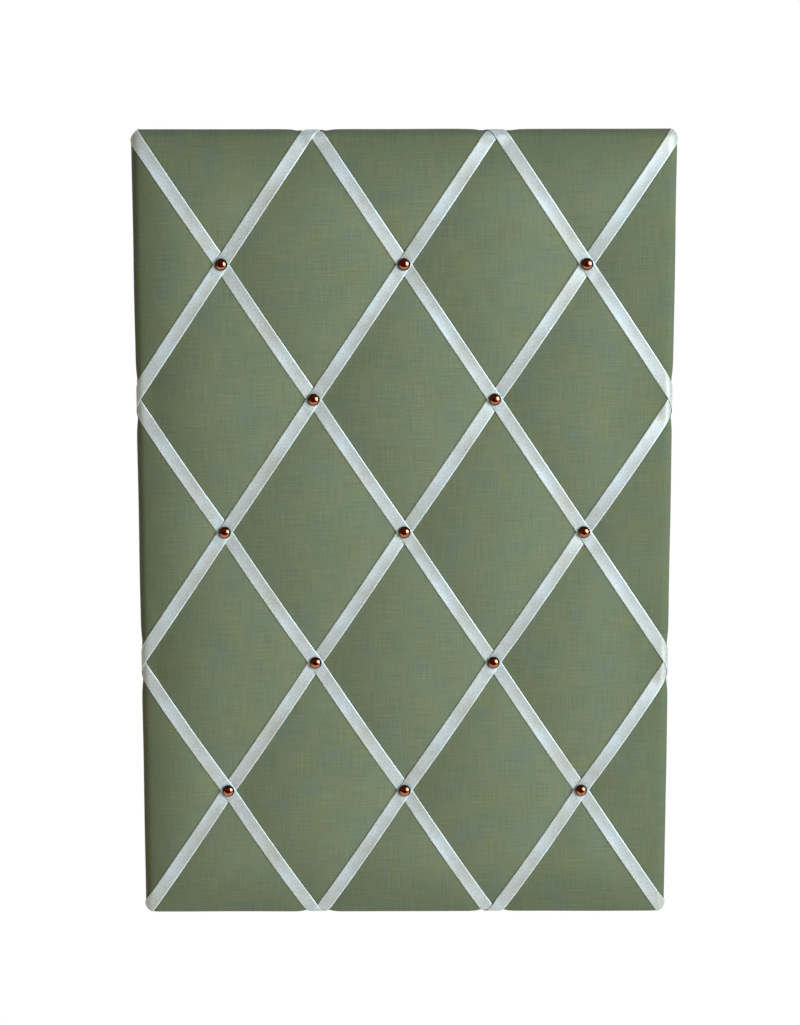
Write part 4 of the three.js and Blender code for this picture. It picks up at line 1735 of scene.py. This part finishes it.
@dataclass(frozen=True)
class Copper(Finish):
    """Lacquered copper plate on steel: a white glint over a deep red crown, with painted
    reflections that ring it orange and darken its edge.
    """

    name: str = "polished_copper_plate"
    crown: str = "#a63c2c"
    # Painted reflections, an orange ring and a near-black edge: each tone, and the shares of the
    # radius where it starts and is full
    painted_reflections: tuple[tuple[str, tuple[float, float]], ...] = (
        ("#c07a48", (0.3, 0.55)), ("#2e0f0a", (0.55, 0.86)),
    )
    smudge: float = 1.6 * MM

    def dress(self, tree: Nodes, shader: bpy.types.Node) -> None:
        """Paints reflections that ring the crown and darken the edge, and smudges the polish.

        Args:
            tree: The material's nodes.
            shader: Its Principled shader.
        """
        rim = add_node(tree, "Attribute", out="Fac", attribute_name="rim")
        place = add_node(tree, "TexCoord", out="Object")
        smudge = add_node(
            tree, "TexNoise", {"Vector": place, "Scale": 1 / self.smudge, "Detail": 3.0}, "Fac"
        )
        colour = linear(self.crown)
        # Paints the reflections in rings over the crown
        for tone, ends in self.painted_reflections:
            colour = self.mix(tree, rim, ends, colour, linear(tone))
        rough = add_node(tree, "MapRange", {"Value": smudge, "To Min": 0.1, "To Max": 0.24})
        fill_inputs(tree, shader, {
            "Base Color": colour, "Roughness": rough, "Metallic": 1.0, "Coat Weight": 0.8,
            "Coat Roughness": 0.06,
        })


@dataclass(frozen=True)
class Mottled(Finish):
    """A finish of two tones mixed by its own grain, with the grain's bump."""

    dark: str = "#888888"
    light: str = "#aaaaaa"
    grain: float = 1.0 * MM
    stretch: float = 1.0
    roughness: float = 0.9
    metallic: float = 0.0
    bump: float = 0.2
    sheen: float = 0.0
    tones: tuple[float, float] = (0.3, 0.7)
    smoother: float = 0.08
    rougher: float = 0.06
    relief: float = 0.3

    def dress(self, tree: Nodes, shader: bpy.types.Node) -> None:
        """Mixes the tones and raises the grain.

        Args:
            tree: The material's nodes.
            shader: Its Principled shader.
        """
        place = add_node(tree, "TexCoord", out="Object")
        scale = 1 / self.grain
        mapped = add_node(
            tree, "Mapping", {"Vector": place, "Scale": (scale / self.stretch, scale, scale)}
        )
        grain = add_node(
            tree, "TexNoise",
            {"Vector": mapped, "Scale": 1.0, "Detail": 4.0, "Roughness": 0.65, "Distortion": 0.6},
            "Fac",
        )
        colour = self.mix(tree, grain, self.tones, linear(self.dark), linear(self.light))
        raised = add_node(
            tree, "Bump",
            {"Strength": self.bump, "Distance": self.relief * self.grain, "Height": grain},
        )
        smooth, coarse = self.roughness - self.smoother, self.roughness + self.rougher
        rough = add_node(tree, "MapRange", {"Value": grain, "To Min": smooth, "To Max": coarse})
        fill_inputs(tree, shader, {
            "Base Color": colour, "Normal": raised, "Roughness": rough,
            "Metallic": self.metallic, "Sheen Weight": self.sheen,
        })


# Pressed wool: matt, with a short soft nap and flecks of two greys
FELT = Mottled(
    "grey_wool_felt", "#484743", "#62605a",
    grain=1.4 * MM, roughness=0.94, bump=0.5, sheen=0.3,
)
# Zinc-plated strip and wire: a dull shine that clouds a little
ZINC = Mottled(
    "zinc_plated_steel", "#9fa2a4", "#c3c5c6",
    grain=3.0 * MM, roughness=0.34, metallic=1.0, bump=0.05,
)
# Galvanised wire: duller, with a finer spangle
WIRE = Mottled(
    "galvanised_staple_wire", "#9c9fa1", "#bfc1c2",
    grain=0.8 * MM, roughness=0.4, metallic=1.0, bump=0.05,
)
# Pressed fibre: matt brown, with short fibres that lie along the board
FIBREBOARD = Mottled(
    "pressed_wood_fibreboard", "#9c7b55", "#bd9c74",
    grain=1.2 * MM, stretch=3.0, roughness=0.88, bump=0.3,
)
# Blown polyester: white, soft and tangled
FLEECE = Mottled(
    "white_polyester_wadding", "#dedad0", "#f4f1ea",
    grain=2.5 * MM, stretch=2.0, roughness=0.92, bump=0.6, sheen=0.2,
)


def dress_solids() -> None:
    """Gives the solids that stay their finishes."""
    finishes = {"backboard": FIBREBOARD, "staple": WIRE}
    for name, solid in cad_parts.items():
        finish = finishes.get(name.split("_")[0])
        if finish:
            solid.data.materials.clear()
            solid.data.materials.append(finish.material())
            log.info("%s: %s", name, finish.name)


# The studio


@dataclass(frozen=True)
class Lamp:
    """A soft round lamp that faces the board."""

    name: str
    place: tuple[float, float, float]
    size: float
    power: float
    colour: str
    mirrored: bool = True

    def build(self) -> None:
        """Hangs the lamp."""
        data = bpy.data.lights.new(self.name, "AREA")
        data.shape = "DISK"
        data.size = self.size
        data.energy = self.power
        data.color = linear(self.colour)[:3]
        lamp = bpy.data.objects.new(self.name, data)
        lamp.location = self.place
        lamp.visible_glossy = self.mirrored
        lamp.rotation_euler = (-Vector(self.place)).to_track_quat("-Z", "Y").to_euler()
        bpy.context.scene.collection.objects.link(lamp)


@dataclass
class Studio:
    """A pale floor far below, a soft key light from the right and a little light from all round."""

    floor_drop: float = 2.2
    floor_size: float = 30.0
    floor_colour: str = "#efefef"
    white: str = "#ffffff"
    ambient: float = 0.09
    lamps: tuple[Lamp, ...] = (
        Lamp("key", (2.0, -2.1, 0.6), 2.2, 120.0, "#eff6ff"),
        Lamp("warm_fill", (-1.8, -1.6, -1.3), 1.2, 12.0, "#ffd3a0", mirrored=False),
        Lamp("back", (-1.6, 2.6, 1.2), 1.6, 70.0, "#ffffff"),
    )
    room_radius: float = 9.0
    room_colour: str = "#a8604f"
    room_open: float = 0.1
    carpet_start: float = 3.0
    carpet_rise: float = 0.01
    camera_place: tuple[float, float, float] = (-0.0034, -1.8446, 0.3270)
    camera_tilt: float = math.radians(9.695)
    camera_roll: float = math.radians(0.085)
    focal_pixels: float = 2434.0
    image_height: int = 1025
    sensor_height: float = 36.0

    def build(self) -> None:
        """Sets the stage, the lights and the camera."""
        bpy.context.scene.view_settings.view_transform = "Standard"
        self._camera()
        self._world()
        self._floor()
        for lamp in self.lamps:
            lamp.build()
        self._room()

    def _camera(self) -> None:
        """Puts the camera where the photograph was taken from."""
        data = bpy.data.cameras.new("camera")
        data.sensor_fit = "VERTICAL"
        data.sensor_height = self.sensor_height
        data.lens = self.focal_pixels / self.image_height * data.sensor_height
        camera = bpy.data.objects.new("camera", data)
        bpy.context.scene.collection.objects.link(camera)
        turn = Matrix.Rotation(math.pi / 2 - self.camera_tilt, 4, "X")
        turn = turn @ Matrix.Rotation(-self.camera_roll, 4, "Z")
        camera.matrix_world = Matrix.Translation(self.camera_place) @ turn
        bpy.context.scene.camera = camera

    def _seen(self, tree: Nodes) -> Socket:
        """Adds the nodes that tell whether a ray shows the background.

        Args:
            tree: The nodes of the world or of a stage material.

        Returns:
            A socket with 1 for rays from the camera and for mirrored and refracted ones.
        """
        seen = add_node(tree, "LightPath", out="Is Camera Ray")
        rays = seen.node.outputs
        for other in ("Is Glossy Ray", "Is Transmission Ray"):
            seen = add_node(tree, "Math", {0: seen, 1: rays[other]}, operation="MAXIMUM")
        return seen

    def _world(self) -> None:
        """Makes the background white and the light from all round even."""
        world = bpy.data.worlds.new("studio")
        world.use_nodes = True
        tree = world.node_tree
        ends = {"Value": self._seen(tree), "To Min": self.ambient, "To Max": 1.0}
        strength = add_node(tree, "MapRange", ends)
        background = tree.nodes["Background"]
        fill_inputs(tree, background, {"Color": linear(self.white), "Strength": strength})
        bpy.context.scene.world = world

    def _floor(self) -> None:
        """Lays the floor, so far below that the hanging board's shadow falls out of view."""
        shape = bmesh.new()
        bmesh.ops.create_grid(shape, x_segments=1, y_segments=1, size=self.floor_size / 2)
        bmesh.ops.translate(shape, verts=shape.verts, vec=(0.0, 0.0, -self.floor_drop))
        floor = new_object("floor", shape)
        made, tree, shader = new_material("pale_studio_floor")
        fill_inputs(tree, shader, {"Base Color": linear(self.floor_colour), "Roughness": 1.0})
        white = add_node(tree, "Emission", {"Color": linear(self.white), "Strength": 1.0})
        mixed = add_node(
            tree, "MixShader", {0: self._seen(tree), 1: shader.outputs[0], 2: white}
        )
        fill_inputs(tree, tree.nodes["Material Output"], {"Surface": mixed})
        floor.data.materials.append(made)

    def _room(self) -> None:
        """Stands a dark half dome and a carpet behind the camera, for the nails to mirror."""
        shape = bmesh.new()
        bmesh.ops.create_uvsphere(shape, u_segments=24, v_segments=12, radius=self.room_radius)
        bmesh.ops.bisect_plane(
            shape, geom=shape.verts[:] + shape.edges[:] + shape.faces[:],
            plane_co=(0.0, -self.room_open, 0.0), plane_no=(0.0, 1.0, 0.0), clear_outer=True,
        )
        size = self.room_radius
        carpet = bmesh.ops.create_grid(shape, x_segments=1, y_segments=1, size=size)["verts"]
        middle = (0.0, -self.carpet_start - size, self.carpet_rise - self.floor_drop)
        bmesh.ops.translate(shape, verts=carpet, vec=middle)
        room = new_object("dark_room", shape)
        made, tree, shader = new_material("dark_room_wall")
        fill_inputs(tree, shader, {"Base Color": linear(self.room_colour)})
        room.data.materials.append(made)
        room.visible_camera = False
        room.visible_diffuse = False
        room.visible_shadow = False


def main() -> None:
    """Builds the board's pieces in order."""
    logging.basicConfig(level=logging.INFO, format="%(message)s")
    Studio().build()
    sizes = Sizes.from_frame()
    lattice = Lattice(sizes)
    front = PaddedFront(sizes, lattice)
    cover = Cover(sizes, lattice, front)
    cover.build(Linen(pitch=(sizes.pitch_x, sizes.pitch_y)))
    Wadding(cover).build(FLEECE)
    ribbons = Ribbons(sizes, lattice, front, cover).build(Satin())
    Nails(sizes).build(Copper())
    FeltLining().build(FELT, ribbons)
    Hangers().build(ZINC)
    dress_solids()


if __name__ == "__main__":
    main()
